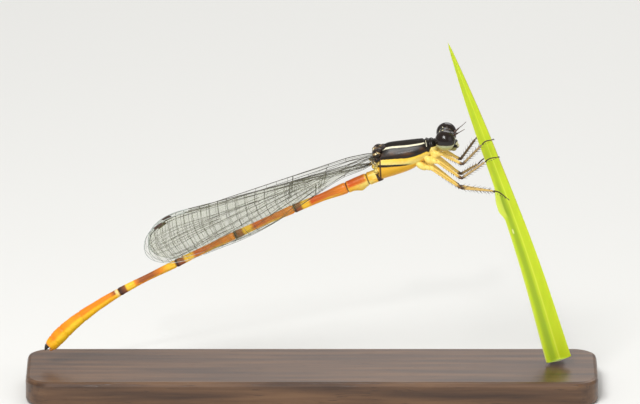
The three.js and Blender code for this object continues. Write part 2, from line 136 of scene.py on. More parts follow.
def smooth_path(points: Sequence[Vector], even: bool = False) -> Path:
    """A smooth line through points, as the solids' own lines run.

    Args:
        points: Two or more places that the line passes through.
        even: Measures the way along the line's length instead of point by point.

    Returns:
        A function of the way along, from 0 to 1.
    """
    ends = [2 * points[0] - points[1], *points, 2 * points[-1] - points[-2]]
    spans = len(points) - 1

    def place(way: float) -> Vector:
        """Finds the place at this share of the way.

        Args:
            way: From 0 at the first point to 1 at the last.

        Returns:
            The place.
        """
        at = min(max(way, 0.0), 1.0) * spans
        span = min(int(at), spans - 1)
        t = at - span
        a, b, c, d = ends[span : span + 4]
        g0, g1, g2 = [max((q - p).length, TINY) ** 0.5 for p, q in ((a, b), (b, c), (c, d))]
        leave = ((b - a) / g0 - (c - a) / (g0 + g1) + (c - b) / g1) * g1
        arrive = ((c - b) / g1 - (d - b) / (g1 + g2) + (d - c) / g2) * g1
        held = 2 * t**3 - 3 * t**2 + 1
        return b * held + leave * (t**3 - 2 * t**2 + t) + c * (1 - held) + arrive * (t**3 - t**2)

    if not even:
        return place
    ways = np.linspace(0.0, 1.0, PATH_STEPS + 1)
    spots = [place(float(way)) for way in ways]
    run = np.concatenate(([0.0], np.cumsum([(q - p).length for p, q in zip(spots, spots[1:])])))
    return lambda way: place(float(np.interp(way * run[-1], run, ways)))


# Modelling helpers.


def rest_hands() -> None:
    """Leaves edit mode and deselects everything."""
    if bpy.context.object and bpy.context.object.mode != "OBJECT":
        bpy.ops.object.mode_set(mode="OBJECT")
    bpy.ops.object.select_all(action="DESELECT")


def take(*things: Object) -> None:
    """Selects these objects alone and makes the first one active.

    Args:
        things: The objects.
    """
    rest_hands()
    for thing in things:
        thing.select_set(True)
    bpy.context.view_layer.objects.active = things[0]


def named(name: str) -> Object:
    """Names the object that was just added, and its mesh.

    Args:
        name: The new name.

    Returns:
        That object.
    """
    thing = bpy.context.object
    thing.name = name
    thing.data.name = name
    return thing


def settle(thing: Object) -> Object:
    """Merges doubles, turns the faces outwards and shades the piece smooth.

    Args:
        thing: A closed mesh.

    Returns:
        The same object.
    """
    take(thing)
    bpy.ops.object.mode_set(mode="EDIT")
    bpy.ops.mesh.select_all(action="SELECT")
    bpy.ops.mesh.remove_doubles(threshold=WELD)
    bpy.ops.mesh.normals_make_consistent(inside=False)
    bpy.ops.object.mode_set(mode="OBJECT")
    bpy.ops.object.shade_smooth()
    return thing


def join(name: str, things: Sequence[Object]) -> Object:
    """Joins objects into one, keeping each one's material slots and attributes.

    Args:
        name: The name of the one that stays.
        things: The objects.

    Returns:
        The joined object.
    """
    take(*things)
    bpy.ops.object.join()
    return named(name)


def dressed(thing: Object, *finishes: Material) -> Object:
    """Adds finishes to a piece.

    Args:
        thing: The piece.
        finishes: Its materials, in the order of its slots.

    Returns:
        The same object.
    """
    for finish in finishes:
        thing.data.materials.append(finish)
    return thing


def brush(thing: Object, layer: str, rule: Callable[[Vector], float]) -> None:
    """Paints a number on every vertex, for a finish to read.

    Args:
        thing: The mesh object.
        layer: The attribute's name.
        rule: Gives the number at a place in millimetres.
    """
    mesh = thing.data
    store = mesh.attributes.get(layer) or mesh.attributes.new(layer, "FLOAT", "POINT")
    store.data.foreach_set("value", [rule(vertex.co) for vertex in mesh.vertices])


def rolled(name: str, sides: int, rings: int, place: Place, marks: dict[str, Mark] | None = None,
           keep_open: bool = False) -> Object:
    """Rolls a flat grid into a tube whose first and last rings close to a point.

    Args:
        name: The new object's name.
        sides: Faces round the tube.
        rings: Faces along it.
        place: Gives each vertex's place from the way along and the angle, which is 0 at the seam.
        marks: Attributes to paint, each from the way along and the angle.
        keep_open: Leaves the grid flat, without a seam.

    Returns:
        The new object, in millimetres.
    """
    rest_hands()
    bpy.ops.mesh.primitive_grid_add(x_subdivisions=sides, y_subdivisions=rings, size=1.0)
    thing = named(name)
    flat = np.zeros(len(thing.data.vertices) * 3)
    thing.data.vertices.foreach_get("co", flat)
    spots = [(y + 0.5, (x + 0.5) * math.tau) for x, y, _ in flat.reshape(-1, 3)]
    thing.data.vertices.foreach_set("co", np.array([place(*spot) for spot in spots]).ravel())
    for layer, rule in (marks or {}).items():
        store = thing.data.attributes.new(layer, "FLOAT", "POINT")
        store.data.foreach_set("value", [rule(*spot) for spot in spots])
    thing.data.update()
    if keep_open:
        take(thing)
        bpy.ops.object.shade_smooth()
        return thing
    return settle(thing)


def along_path(path: Path, section: Section) -> Place:
    """Turns a path and its cross-section into the place of each vertex of a tube.

    Args:
        path: The centre line.
        section: Gives the reach across the body and the reach upwards from the way and the angle.

    Returns:
        A function of the way along and the angle.
    """
    def place(way: float, angle: float) -> Vector:
        """Places the vertex at this way along and this angle.

        Args:
            way: The way along the path.
            angle: The angle round it.

        Returns:
            The place.
        """
        ahead = path(min(way + WAY_STEP, 1.0)) - path(max(way - WAY_STEP, 0.0))
        ahead.normalize()
        across = Vector((0.0, 1.0, 0.0))
        across = (across - ahead * across.dot(ahead)).normalized()
        up = across.cross(ahead)
        if up.z < 0.0:
            up.negate()
        out, high = section(way, angle)
        return path(way) + across * out + up * high

    return place


def rod(name: str, start: Vector, end: Vector, radii: Sequence[float], sides: int = 10,
        rings: int = 8) -> Object:
    """Models a round rod with domed ends.

    Args:
        name: The rod's name.
        start: The middle of its first end.
        end: The middle of its last end.
        radii: The radii that it runs through, evenly spaced.
        sides: Faces round it.
        rings: Faces along it.

    Returns:
        The rod.
    """
    length = (end - start).length

    def section(way: float, angle: float) -> Span:
        """Shapes the rod's round section, drawn in at each dome.

        Args:
            way: The way along the rod.
            angle: The angle round it.

        Returns:
            The reach across and the reach upwards.
        """
        at = way * (len(radii) - 1)
        low = min(int(at), len(radii) - 2)
        radius = mix(radii[low], radii[low + 1], ease(at - low))
        edge = min(way, 1.0 - way) * length
        dome = math.sqrt(max(0.0, 1.0 - (1.0 - min(edge / radius, 1.0)) ** 2))
        return radius * dome * math.cos(angle), radius * dome * math.sin(angle)

    tube = along_path(lambda way: start.lerp(end, way), section)
    return rolled(name, sides, rings, lambda way, angle: tube(cosine_ease(way), angle))


def horned(name: str, spots: Sequence[Vector], radii: Sequence[float], sides: int = 10,
           rings: int = 12) -> Object:
    """Models a curved horn with rounded ends.

    Args:
        name: The horn's name.
        spots: The places that it runs through.
        radii: The radii that it runs through, evenly spaced.
        sides: Faces round it.
        rings: Faces along it.

    Returns:
        The horn.
    """
    path = smooth_path(spots)
    round_over = 0.08

    def section(way: float, angle: float) -> Span:
        """Shapes the horn's round section, drawn in at both ends.

        Args:
            way: The way along the horn.
            angle: The angle round it.

        Returns:
            The reach across and the reach upwards.
        """
        at = way * (len(radii) - 1)
        low = min(int(at), len(radii) - 2)
        radius = mix(radii[low], radii[low + 1], at - low)
        dome = math.sqrt(max(0.0, 1.0 - (1.0 - stretch(min(way, 1.0 - way), 0.0, round_over)) ** 2))
        return radius * dome * math.cos(angle), radius * dome * math.sin(angle)

    return rolled(name, sides, rings, along_path(path, section))


def ball(name: str, centre: Vector, radii: Sequence[float], columns: int = 20) -> Object:
    """Models a smooth ball of unequal radii, stretched from a round one.

    Args:
        name: The ball's name.
        centre: Its middle.
        radii: Its radii along X, Y and Z.
        columns: Faces round it.

    Returns:
        The ball.
    """
    rest_hands()
    bpy.ops.mesh.primitive_uv_sphere_add(segments=columns, ring_count=columns // 2, radius=1.0)
    thing = named(name)
    bpy.ops.object.mode_set(mode="EDIT")
    bpy.ops.mesh.select_all(action="SELECT")
    bpy.ops.transform.resize(value=tuple(radii))
    bpy.ops.transform.translate(value=tuple(centre))
    bpy.ops.object.mode_set(mode="OBJECT")
    bpy.ops.object.shade_smooth()
    return thing


def fused(name: str, things: Sequence[Object], voxel: float,
          layers: Sequence[str] = (), melt: int = 5) -> Object:
    """Melts overlapping pieces into one smooth skin and carries their paint over to it.

    Args:
        name: The skin's name.
        things: Closed meshes that overlap, all with the same painted layers.
        voxel: The size of the new faces in millimetres.
        layers: The painted layers to carry over.
        melt: How often the skin is smoothed.

    Returns:
        The new skin, without a finish.
    """
    neighbours, softness = 4, 0.004
    skin = join(name, things)
    count = len(skin.data.vertices)
    paints = {layer: np.zeros(count) for layer in layers}
    tree = KDTree(count)
    for vertex in skin.data.vertices:
        tree.insert(vertex.co, vertex.index)
    tree.balance()
    for layer, values in paints.items():
        skin.data.attributes[layer].data.foreach_get("value", values)
    skin.data.remesh_voxel_size = voxel
    take(skin)
    bpy.ops.object.voxel_remesh()
    smooth = skin.modifiers.new("smooth", "SMOOTH")
    smooth.factor, smooth.iterations = 0.5, melt
    bpy.ops.object.modifier_apply(modifier=smooth.name)
    bpy.ops.object.shade_smooth()
    near = [tree.find_n(vertex.co, neighbours) for vertex in skin.data.vertices]
    for layer, values in paints.items():
        store = skin.data.attributes.get(layer) or skin.data.attributes.new(layer, "FLOAT", "POINT")
        blend = []
        for found in near:
            weights = [1.0 / (gap + softness) ** 2 for _, _, gap in found]
            total = sum(weight * values[index] for weight, (_, index, _) in zip(weights, found))
            blend.append(total / sum(weights))
        store.data.foreach_set("value", blend)
    return skin


def spikes(name: str, feet: Sequence[tuple[Vector, Vector]], radius: float) -> Object:
    """Models many thin three-sided spikes in one mesh.

    Args:
        name: The mesh's name.
        feet: Each spike's foot and tip.
        radius: Their radius at the foot.

    Returns:
        The spikes.
    """
    corners: list[Vector] = []
    faces: list[tuple[int, ...]] = []
    for foot, tip in feet:
        aim = (tip - foot).normalized()
        side = aim.orthogonal().normalized()
        other = aim.cross(side)
        first = len(corners)
        for turn in range(3):
            angle = turn * math.tau / 3
            corners.append(foot + (side * math.cos(angle) + other * math.sin(angle)) * radius)
        corners.append(tip)
        faces += [(first, first + 2, first + 1)]
        faces += [(first + k, first + (k + 1) % 3, first + 3) for k in range(3)]
    return meshed(name, corners, faces)


def meshed(name: str, corners: Sequence[Vector], faces: Sequence[tuple[int, ...]]) -> Object:
    """Makes an object of corners and faces.

    Args:
        name: Its name.
        corners: Its corners.
        faces: Its faces, each as the numbers of its corners.

    Returns:
        The object.
    """
    mesh = bpy.data.meshes.new(name)
    mesh.from_pydata(corners, [], faces)
    thing = bpy.data.objects.new(name, mesh)
    bpy.context.scene.collection.objects.link(thing)
    return thing


def turned(thing: Object, degrees: float, axis: str) -> Object:
    """Turns a piece about an axis through the origin, in its mesh.

    Args:
        thing: The piece.
        degrees: How far.
        axis: X, Y or Z.

    Returns:
        The same object.
    """
    take(thing)
    thing.rotation_euler["XYZ".index(axis)] = math.radians(degrees)
    bpy.ops.object.transform_apply(location=False, rotation=True, scale=False)
    return thing


def moved(thing: Object, offset: Vector) -> Object:
    """Moves a piece in its mesh.

    Args:
        thing: The piece.
        offset: How far, in millimetres.

    Returns:
        The same object.
    """
    take(thing)
    thing.location = offset
    bpy.ops.object.transform_apply(location=True, rotation=False, scale=False)
    return thing


def placed(thing: Object, slot: str, *nodes: str) -> None:
    """Brings a finished piece to metres and hands it to the frame, on the model's one body.

    Args:
        thing: The piece, in millimetres.
        slot: The record's material slot; not used.
        nodes: The solids that it stands for.
    """
    take(thing)
    thing.scale = (MM, MM, MM)
    bpy.ops.object.transform_apply(location=False, rotation=False, scale=True)
    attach(thing, BODY)
    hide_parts(*nodes)
    LOG.info("%s: %d faces", thing.name, len(thing.data.polygons))


# Finishes.

Colour = tuple[float, float, float]
Stops = tuple[tuple[float, Colour], ...]


@dataclass
class Paint:
    """A material under construction, with short ways to add its nodes.

    Attributes:
        name: The material's name.
    """

    name: str
    material: Material = field(init=False)

    def __post_init__(self) -> None:
        """Makes the material and finds its shader."""
        self.material = bpy.data.materials.new(self.name)
        self.material.use_nodes = True
        self.tree = self.material.node_tree
        self.shader = self.tree.nodes["Principled BSDF"]

    def node(self, kind: str, **settings: object) -> Node:
        """Adds a node.

        Args:
            kind: The node's kind.
            settings: Its own settings.

        Returns:
            The node.
        """
        made = self.tree.nodes.new(kind)
        for key, value in settings.items():
            setattr(made, key, value)
        return made

    def feed(self, socket: NodeSocket, source: object) -> None:
        """Links a source socket to a socket, or sets a plain value on it.

        Args:
            socket: The socket to feed.
            source: The source socket or the value.
        """
        if isinstance(source, NodeSocket):
            self.tree.links.new(source, socket)
        else:
            socket.default_value = source

    def set(self, **values: object) -> None:
        """Feeds the shader's own sockets, named with underscores for spaces."""
        for key, value in values.items():
            self.feed(self.shader.inputs[key.replace("_", " ")], value)

    def layer(self, name: str) -> NodeSocket:
        """The number painted on the mesh under this name."""
        return self.node("ShaderNodeAttribute", attribute_name=name).outputs["Fac"]

    def coordinate(self, scale: Sequence[float]) -> NodeSocket:
        """Adds the place on the piece, stretched along each axis.

        Args:
            scale: How many units of the pattern lie in a millimetre along X, Y and Z.

        Returns:
            The stretched place.
        """
        mapping = self.node("ShaderNodeMapping")
        mapping.inputs["Scale"].default_value = [part / MM for part in scale]
        source = self.node("ShaderNodeTexCoord").outputs["Object"]
        self.tree.links.new(source, mapping.inputs["Vector"])
        return mapping.outputs["Vector"]

    def noise(self, scale: Sequence[float], detail: float = 3.0) -> NodeSocket:
        """Adds cloudy noise.

        Args:
            scale: How many clouds lie in a millimetre along each axis.
            detail: How many finer layers of clouds it has.

        Returns:
            A number from 0 to 1.
        """
        made = self.node("ShaderNodeTexNoise")
        made.inputs["Scale"].default_value = 1.0
        made.inputs["Detail"].default_value = detail
        self.tree.links.new(self.coordinate(scale), made.inputs["Vector"])
        return made.outputs["Fac"]

    def cells(self, scale: float, feature: str = "F1") -> NodeSocket:
        """Adds small cells.

        Args:
            scale: How many lie in a millimetre.
            feature: F1 measures from their centres, DISTANCE_TO_EDGE from their edges.

        Returns:
            The distance.
        """
        made = self.node("ShaderNodeTexVoronoi", feature=feature)
        made.inputs["Scale"].default_value = 1.0
        self.tree.links.new(self.coordinate((scale, scale, scale)), made.inputs["Vector"])
        return made.outputs["Distance"]

    def math(self, operation: str, first: object, second: object) -> NodeSocket:
        """Works out one sum.

        Args:
            operation: What is done, as the Math node names it.
            first: The first number or socket.
            second: The second one.

        Returns:
            The result.
        """
        made = self.node("ShaderNodeMath", operation=operation)
        self.feed(made.inputs[0], first)
        self.feed(made.inputs[1], second)
        return made.outputs[0]

    def product(self, *parts: object) -> NodeSocket:
        """Multiplies two or more numbers or sockets.

        Args:
            parts: The numbers or sockets, the first of them a socket.

        Returns:
            Their product.
        """
        result = parts[0]
        for part in parts[1:]:
            result = self.math("MULTIPLY", result, part)
        return result

    def sway(self, source: NodeSocket, amount: float, scale: Sequence[float]) -> NodeSocket:
        """Moves a number a little up and down by noise, so that its edges wander."""
        wander = self.product(self.math("SUBTRACT", self.noise(scale), 0.5), amount)
        return self.math("ADD", source, wander)

    def span(self, source: NodeSocket, low: float, high: float) -> NodeSocket:
        """Adds a smooth step.

        Args:
            source: The number that it follows.
            low: Where the step is 0.
            high: Where it is 1.

        Returns:
            The step.
        """
        made = self.node("ShaderNodeMapRange", interpolation_type="SMOOTHSTEP")
        self.feed(made.inputs["Value"], source)
        made.inputs["From Min"].default_value = low
        made.inputs["From Max"].default_value = high
        return made.outputs["Result"]

    def ramp(self, source: NodeSocket, stops: Sequence[tuple[float, Colour]]) -> NodeSocket:
        """Adds colours that follow a number through a few stops.

        Args:
            source: The number.
            stops: Each stop's number and colour.

        Returns:
            The colour.
        """
        made = self.node("ShaderNodeValToRGB")
        elements = made.color_ramp.elements
        while len(elements) < len(stops):
            elements.new(1.0)
        for element, (at, colour) in zip(elements, stops):
            element.position = at
            element.color = (*colour, 1.0)
        self.feed(made.inputs["Fac"], source)
        return made.outputs["Color"]

    def blend(self, share: object, first: object, second: object) -> NodeSocket:
        """Mixes two colours.

        Args:
            share: The second one's share, from 0 to 1.
            first: The first colour or socket.
            second: The second one.

        Returns:
            The mixed colour.
        """
        made = self.node("ShaderNodeMix", data_type="RGBA")
        self.feed(made.inputs["Factor"], share)
        for slot, colour in ((6, first), (7, second)):
            self.feed(made.inputs[slot], (*colour, 1.0) if isinstance(colour, tuple) else colour)
        return made.outputs[2]

    def relief(self, height: NodeSocket, depth: float, strength: float = 1.0) -> None:
        """Raises fine relief on the shader.

        Args:
            height: The height, from 0 to 1.
            depth: How deep the relief is, in millimetres.
            strength: How much of it shows.
        """
        made = self.node("ShaderNodeBump")
        made.inputs["Strength"].default_value = strength
        made.inputs["Distance"].default_value = depth * MM
        self.tree.links.new(height, made.inputs["Height"])
        self.tree.links.new(made.outputs["Normal"], self.shader.inputs["Normal"])


BLACK: Colour = (0.012, 0.009, 0.007)
BRONZE: Colour = (0.075, 0.032, 0.012)
CREAM: Colour = (0.86, 0.80, 0.58)
LEMON: Colour = (0.86, 0.66, 0.16)
GOLD: Colour = (0.84, 0.46, 0.03)
ORANGE: Colour = (0.62, 0.16, 0.012)
RUST: Colour = (0.30, 0.07, 0.012)
UMBER: Colour = (0.05, 0.02, 0.012)
# The mouthparts' pale yellow, dulled as painted shade under the head.
SHADED_OLIVE: Colour = (0.32, 0.29, 0.10)


@dataclass(frozen=True)
class ThoraxSkin:
    """Striped horny skin of the thorax, black over yellow, from the painted layers band and way."""

    roughness: float = 0.36
    coat: float = 0.1
    specular: float = 0.24
    belly: Colour = (0.70, 0.36, 0.03)
    honey: Colour = (0.86, 0.56, 0.05)
    pale: Colour = (0.92, 0.78, 0.26)
    amber: Colour = (0.84, 0.40, 0.02)

    def make(self) -> Material:
        """Builds the material.

        Returns:
            The material.
        """
        paint = Paint("thorax_stripes")
        band = paint.sway(paint.layer("band"), 0.02, (3.0, 3.0, 3.0))
        way = paint.layer("way")
        colour = paint.ramp(band, [
            (0.0, self.belly), (0.14, GOLD), (0.19, GOLD), (0.21, BLACK), (0.25, BLACK), (0.27, self.pale),
            (0.36, LEMON), (0.48, self.honey), (0.502, BLACK), (1.0, BLACK),
        ])
        line_end = paint.product(paint.span(band, 0.19, 0.21), paint.span(band, 0.275, 0.26),
                                 paint.span(way, 0.5, 0.72))
        colour = paint.blend(line_end, colour, LEMON)
        mottle = paint.product(paint.span(paint.noise((2.5, 2.5, 2.5), 4.0), 0.45, 0.75), 0.5,
                               paint.span(band, 0.5, 0.47))
        line = paint.product(paint.span(band, 0.18, 0.2), paint.span(band, 0.28, 0.26))
        mottle = paint.product(mottle, paint.math("SUBTRACT", 1.0, line))
        colour = paint.blend(mottle, colour, self.amber)
        gleam = paint.product(paint.span(band, 0.52, 0.6), paint.span(band, 0.72, 0.64),
                              paint.span(paint.noise((1.2, 1.2, 2.4)), 0.42, 0.7))
        colour = paint.blend(gleam, colour, BRONZE)
        stripe = paint.product(paint.span(band, 0.75, 0.77), paint.span(band, 0.85, 0.83),
                               paint.span(way, 0.07, 0.1), paint.span(way, 1.06, 1.02))
        colour = paint.blend(stripe, colour, CREAM)
        seam = paint.product(paint.span(way, 0.02, -0.01), paint.span(way, -0.24, -0.16), 0.92)
        colour = paint.blend(seam, colour, UMBER)
        paint.set(Base_Color=colour, Roughness=self.roughness, Specular_IOR_Level=self.specular)
        paint.set(Coat_Weight=self.coat, Coat_Roughness=0.15)
        paint.relief(paint.noise((14.0, 14.0, 14.0), 3.0), 0.01, 0.7)
        return paint.material


@dataclass(frozen=True)
class JointSkin:
    """Small horny plates of the wing joints, dark and cream above and gold below, from the layer gold.

    Attributes:
        plates: How many plates lie in a millimetre.
        gold_seams: How much weaker the seams are in the gold.
    """

    plates: float = 2.6
    seam: Span = (0.12, 0.04)
    gold_seams: float = 0.55
    tan: Colour = (0.62, 0.47, 0.20)
    brown: Colour = (0.45, 0.24, 0.03)

    def make(self) -> Material:
        """Builds the material.

        Returns:
            The material.
        """
        paint = Paint("joint_plates")
        edge = paint.cells(self.plates, "DISTANCE_TO_EDGE")
        patch = paint.noise((1.9, 1.9, 2.6), 2.0)
        upper = paint.ramp(patch, [
            (0.45, BLACK), (0.53, UMBER), (0.59, (0.30, 0.20, 0.08)), (0.65, self.tan), (0.72, CREAM),
        ])
        lower = paint.ramp(patch, [(0.28, UMBER), (0.34, self.brown), (0.4, GOLD), (0.54, LEMON)])
        gold = paint.layer("gold")
        colour = paint.blend(gold, upper, lower)
        strength = paint.math("ADD", paint.product(gold, -self.gold_seams), 1.0)
        colour = paint.blend(paint.product(strength, paint.span(edge, *self.seam)), colour, BLACK)
        paint.set(Base_Color=colour, Roughness=0.36, Specular_IOR_Level=0.35)
        paint.relief(paint.span(edge, 0.0, 0.16), 0.03, 0.8)
        return paint.material


@dataclass(frozen=True)
class RingedSkin:
    """Skin of one run of abdomen segments, ringed along and shaded from its back to its belly.

    Attributes:
        name: The material's name.
        back: Colours along each segment's back, by the painted layer way.
        belly: Colours along its lower side.
        turn: The levels between which the belly gives way to the back.
    """

    name: str
    back: Stops
    belly: Stops
    turn: Span = (0.34, 0.5)
    roughness: float = 0.34

    def make(self) -> Material:
        """Builds the material.

        Returns:
            The material.
        """
        paint = Paint(self.name)
        way = paint.sway(paint.layer("way"), 0.012, (4.0, 9.0, 9.0))
        level = paint.sway(paint.layer("level"), 0.1, (2.0, 5.0, 5.0))
        share = paint.span(level, *self.turn)
        colour = paint.blend(share, paint.ramp(way, self.belly), paint.ramp(way, self.back))
        mottle = paint.product(paint.span(paint.noise((3.5, 9.0, 9.0), 4.0), 0.4, 0.75), 0.3)
        colour = paint.blend(mottle, colour, paint.blend(0.35, colour, RUST))
        paint.set(Base_Color=colour, Roughness=self.roughness, Specular_IOR_Level=0.35)
        paint.set(Coat_Weight=0.12, Coat_Roughness=0.15)
        paint.set(Subsurface_Weight=0.15, Subsurface_Scale=0.0003, Subsurface_Radius=(1.0, 0.5, 0.2))
        paint.relief(paint.noise((8.0, 22.0, 22.0), 3.0), 0.006, 0.7)
        return paint.material


@dataclass(frozen=True)
class HeadSkin:
    """Black horny skin of the head with pale patches and a dull yellow underside darkened as painted shade,
    from the painted layers pale and olive.
    """

    roughness: float = 0.3
    patch: Colour = (0.78, 0.72, 0.42)

    def make(self) -> Material:
        """Builds the material.

        Returns:
            The material.
        """
        paint = Paint("head_skin")
        # The underside: yellow mouthparts, darkened as painted shade.
        colour = paint.blend(paint.span(paint.layer("olive"), 0.35, 0.65), BLACK, SHADED_OLIVE)
        colour = paint.blend(paint.span(paint.layer("pale"), 0.4, 0.6), colour, self.patch)
        paint.set(Base_Color=colour, Roughness=self.roughness, Specular_IOR_Level=0.35)
        paint.set(Coat_Weight=0.12, Coat_Roughness=0.15)
        paint.relief(paint.noise((18.0, 18.0, 18.0), 3.0), 0.008, 0.8)
        return paint.material


@dataclass(frozen=True)
class EyeGloss:
    """Glossy eye with its fine lenses, dark over its back and paler below, from the painted layer height.

    Attributes:
        lenses: How many lenses lie in a millimetre.
    """

    lenses: float = 26.0
    stops: Stops = (
        (0.0, (0.42, 0.36, 0.05)), (0.16, (0.44, 0.42, 0.14)), (0.31, (0.46, 0.48, 0.28)),
        (0.36, (0.05, 0.03, 0.012)), (0.40, (0.008, 0.005, 0.004)), (1.0, (0.014, 0.007, 0.005)),
    )

    def make(self) -> Material:
        """Builds the material.

        Returns:
            The material.
        """
        paint = Paint("eye_gloss")
        height = paint.sway(paint.layer("height"), 0.08, (2.0, 2.0, 2.0))
        paint.set(Base_Color=paint.ramp(height, self.stops), Roughness=0.2, Specular_IOR_Level=0.3)
        paint.set(Coat_Weight=0.25, Coat_Roughness=0.03)
        paint.relief(paint.cells(self.lenses), 0.004, 0.25)
        return paint.material


@dataclass(frozen=True)
class LegSkin:
    """Yellow leg that darkens towards its joints, from the painted layers dusk and line."""

    stops: Stops = (
        (0.0, (0.90, 0.65, 0.14)), (0.3, (0.86, 0.56, 0.14)), (0.42, (0.50, 0.33, 0.12)),
        (0.6, (0.15, 0.10, 0.045)), (0.85, UMBER),
    )
    streak: Colour = (0.34, 0.15, 0.02)

    def make(self) -> Material:
        """Builds the material.

        Returns:
            The material.
        """
        paint = Paint("leg_skin")
        dusk = paint.sway(paint.layer("dusk"), 0.12, (9.0, 9.0, 9.0))
        line = paint.span(paint.layer("line"), 0.4, 0.85)
        colour = paint.blend(line, paint.ramp(dusk, self.stops), self.streak)
        paint.set(Base_Color=colour, Roughness=0.38, Specular_IOR_Level=0.35)
        paint.relief(paint.noise((20.0, 20.0, 20.0), 2.0), 0.005, 0.6)
        return paint.material


@dataclass(frozen=True)
class Horn:
    """Plain horn of one colour, as on bristles, veins, claspers and feelers.

    Attributes:
        lift: How much lighter its lighter clouds are.
    """

    name: str
    colour: Colour
    roughness: float = 0.35
    lift: float = 1.8

    def make(self) -> Material:
        """Builds the material.

        Returns:
            The material.
        """
        paint = Paint(self.name)
        light = tuple(min(1.0, part * self.lift + 0.01) for part in self.colour)
        cloud = paint.span(paint.noise((5.0, 5.0, 5.0)), 0.35, 0.75)
        paint.set(Base_Color=paint.blend(cloud, self.colour, light))
        paint.set(Roughness=self.roughness, Coat_Weight=0.2, Coat_Roughness=0.25)
        return paint.material


@dataclass(frozen=True)
class WingFilm:
    """Clear glossy membrane, faintly smoked and a little uneven."""

    alpha: float = 0.12
    smoke: tuple[Colour, Colour] = ((0.15, 0.17, 0.05), (0.27, 0.29, 0.10))

    def make(self) -> Material:
        """Builds the material.

        Returns:
            The material.
        """
        paint = Paint("wing_film")
        cloud = paint.span(paint.noise((0.9, 0.9, 0.9), 3.0), 0.3, 0.7)
        paint.set(Base_Color=paint.blend(cloud, *self.smoke))
        paint.set(Roughness=0.12, IOR=1.45, Alpha=self.alpha)
        paint.relief(paint.noise((5.0, 5.0, 5.0), 2.0), 0.02, 0.5)
        return paint.material


@dataclass(frozen=True)
class Leaf:
    """Fresh grass, ribbed along its length, from the painted layers out and way.

    Attributes:
        ribs: How many ribs lie between the middle and an edge.
    """

    ribs: float = 13.0
    fresh: tuple[Colour, Colour] = ((0.50, 0.66, 0.006), (0.66, 0.78, 0.016))
    deep: Colour = (0.36, 0.52, 0.006)
    shade: Colour = (0.24, 0.38, 0.006)
    crest: Colour = (0.78, 0.86, 0.10)
    edge: Colour = (0.78, 0.82, 0.24)
    lip: Colour = (0.70, 0.80, 0.10)
    # The green of the painted shade in the fold along the curl.
    crease: Colour = (0.26, 0.38, 0.006)
    rust: Colour = (0.42, 0.34, 0.05)
    fleck: Colour = (0.86, 0.90, 0.50)
    cut: Colour = (0.62, 0.66, 0.30)

    def make(self) -> Material:
        """Builds the material.

        Returns:
            The material.
        """
        paint = Paint("grass_leaf")
        out, way = paint.layer("out"), paint.layer("way")
        ridge = paint.math("SINE", paint.product(out, self.ribs * math.tau), 0.0)
        colour = paint.blend(paint.noise((2.0, 2.0, 0.5), 4.0), *self.fresh)
        lobe = paint.product(paint.span(way, 0.447, 0.47), paint.span(way, 0.556, 0.52))
        low = paint.math("ADD", paint.product(paint.span(way, 0.66, 0.45), 0.45), 0.25)
        marks = (
            (self.deep, (paint.span(ridge, -0.9, 0.9), 0.28)),
            (self.shade, (paint.span(out, -0.86, -0.48), paint.span(out, 0.02, -0.3), low)),
            (self.crest, (paint.span(out, 0.0, 0.06), paint.span(out, 0.2, 0.1), 0.5)),
            (self.edge, (paint.span(out, -0.84, -0.97), 0.7)),
            (self.rust, (paint.span(out, 0.86, 0.98), paint.span(way, 0.4, 0.62), 0.7)),
            (self.lip, (lobe, paint.span(out, -0.5, -0.62), 0.6)),
            # Painted shade in the fold along the curl's inner edge.
            (self.crease, (lobe, paint.span(out, -0.56, -0.46), paint.span(out, -0.3, -0.42), 0.7)),
            (self.fleck, (paint.span(out, -0.66, -0.58), paint.span(out, -0.44, -0.52),
                          paint.span(way, 0.401, 0.407), paint.span(way, 0.42, 0.414), 0.8)),
            (self.cut, (paint.span(way, 0.006, 0.0),)),
        )
        for tint, parts in marks:
            colour = paint.blend(paint.product(*parts), colour, tint)
        paint.set(Base_Color=colour, Roughness=0.42, Subsurface_Weight=0.25, Subsurface_Scale=0.0006)
        paint.relief(ridge, 0.02, 0.4)
        return paint.material


@dataclass(frozen=True)
class DarkWood:
    """Dark stained wood, satin, with fine grain along X."""

    stops: Stops = (
        (0.3, (0.045, 0.020, 0.010)), (0.5, (0.10, 0.048, 0.022)), (0.7, (0.16, 0.082, 0.038)),
    )
    pore: Colour = (0.022, 0.010, 0.006)

    def make(self) -> Material:
        """Builds the material.

        Returns:
            The material.
        """
        paint = Paint("stand_wood")
        grain = paint.noise((0.09, 1.6, 1.6), 6.0)
        pores = paint.span(paint.noise((0.6, 9.0, 9.0), 3.0), 0.6, 0.72)
        colour = paint.blend(paint.product(pores, 0.6), paint.ramp(grain, self.stops), self.pore)
        paint.set(Base_Color=colour, Roughness=paint.math("ADD", paint.product(grain, 0.15), 0.3))
        paint.set(Coat_Weight=0.2, Coat_Roughness=0.3)
        paint.relief(pores, -0.02, 0.5)
        return paint.material


@dataclass(frozen=True)
class BrushedSteel:
    """Satin steel with fine brush lines round the rod."""

    tones: tuple[Colour, Colour] = ((0.50, 0.51, 0.52), (0.66, 0.66, 0.67))

    def make(self) -> Material:
        """Builds the material.

        Returns:
            The material.
        """
        paint = Paint("stand_steel")
        lines = paint.noise((1.0, 1.0, 24.0), 3.0)
        paint.set(Base_Color=paint.blend(lines, *self.tones), Metallic=1.0)
        paint.set(Roughness=paint.math("ADD", paint.product(lines, 0.2), 0.22))
        paint.relief(lines, 0.004, 0.4)
        return paint.material


@dataclass(frozen=True)
class PalePaper:
    """Plain pale floor."""

    def make(self) -> Material:
        """Builds the material.

        Returns:
            The material.
        """
        paint = Paint("pale_floor")
        paint.set(Base_Color=(0.80, 0.80, 0.78, 1.0), Roughness=0.9)
        return paint.material


# The insect.


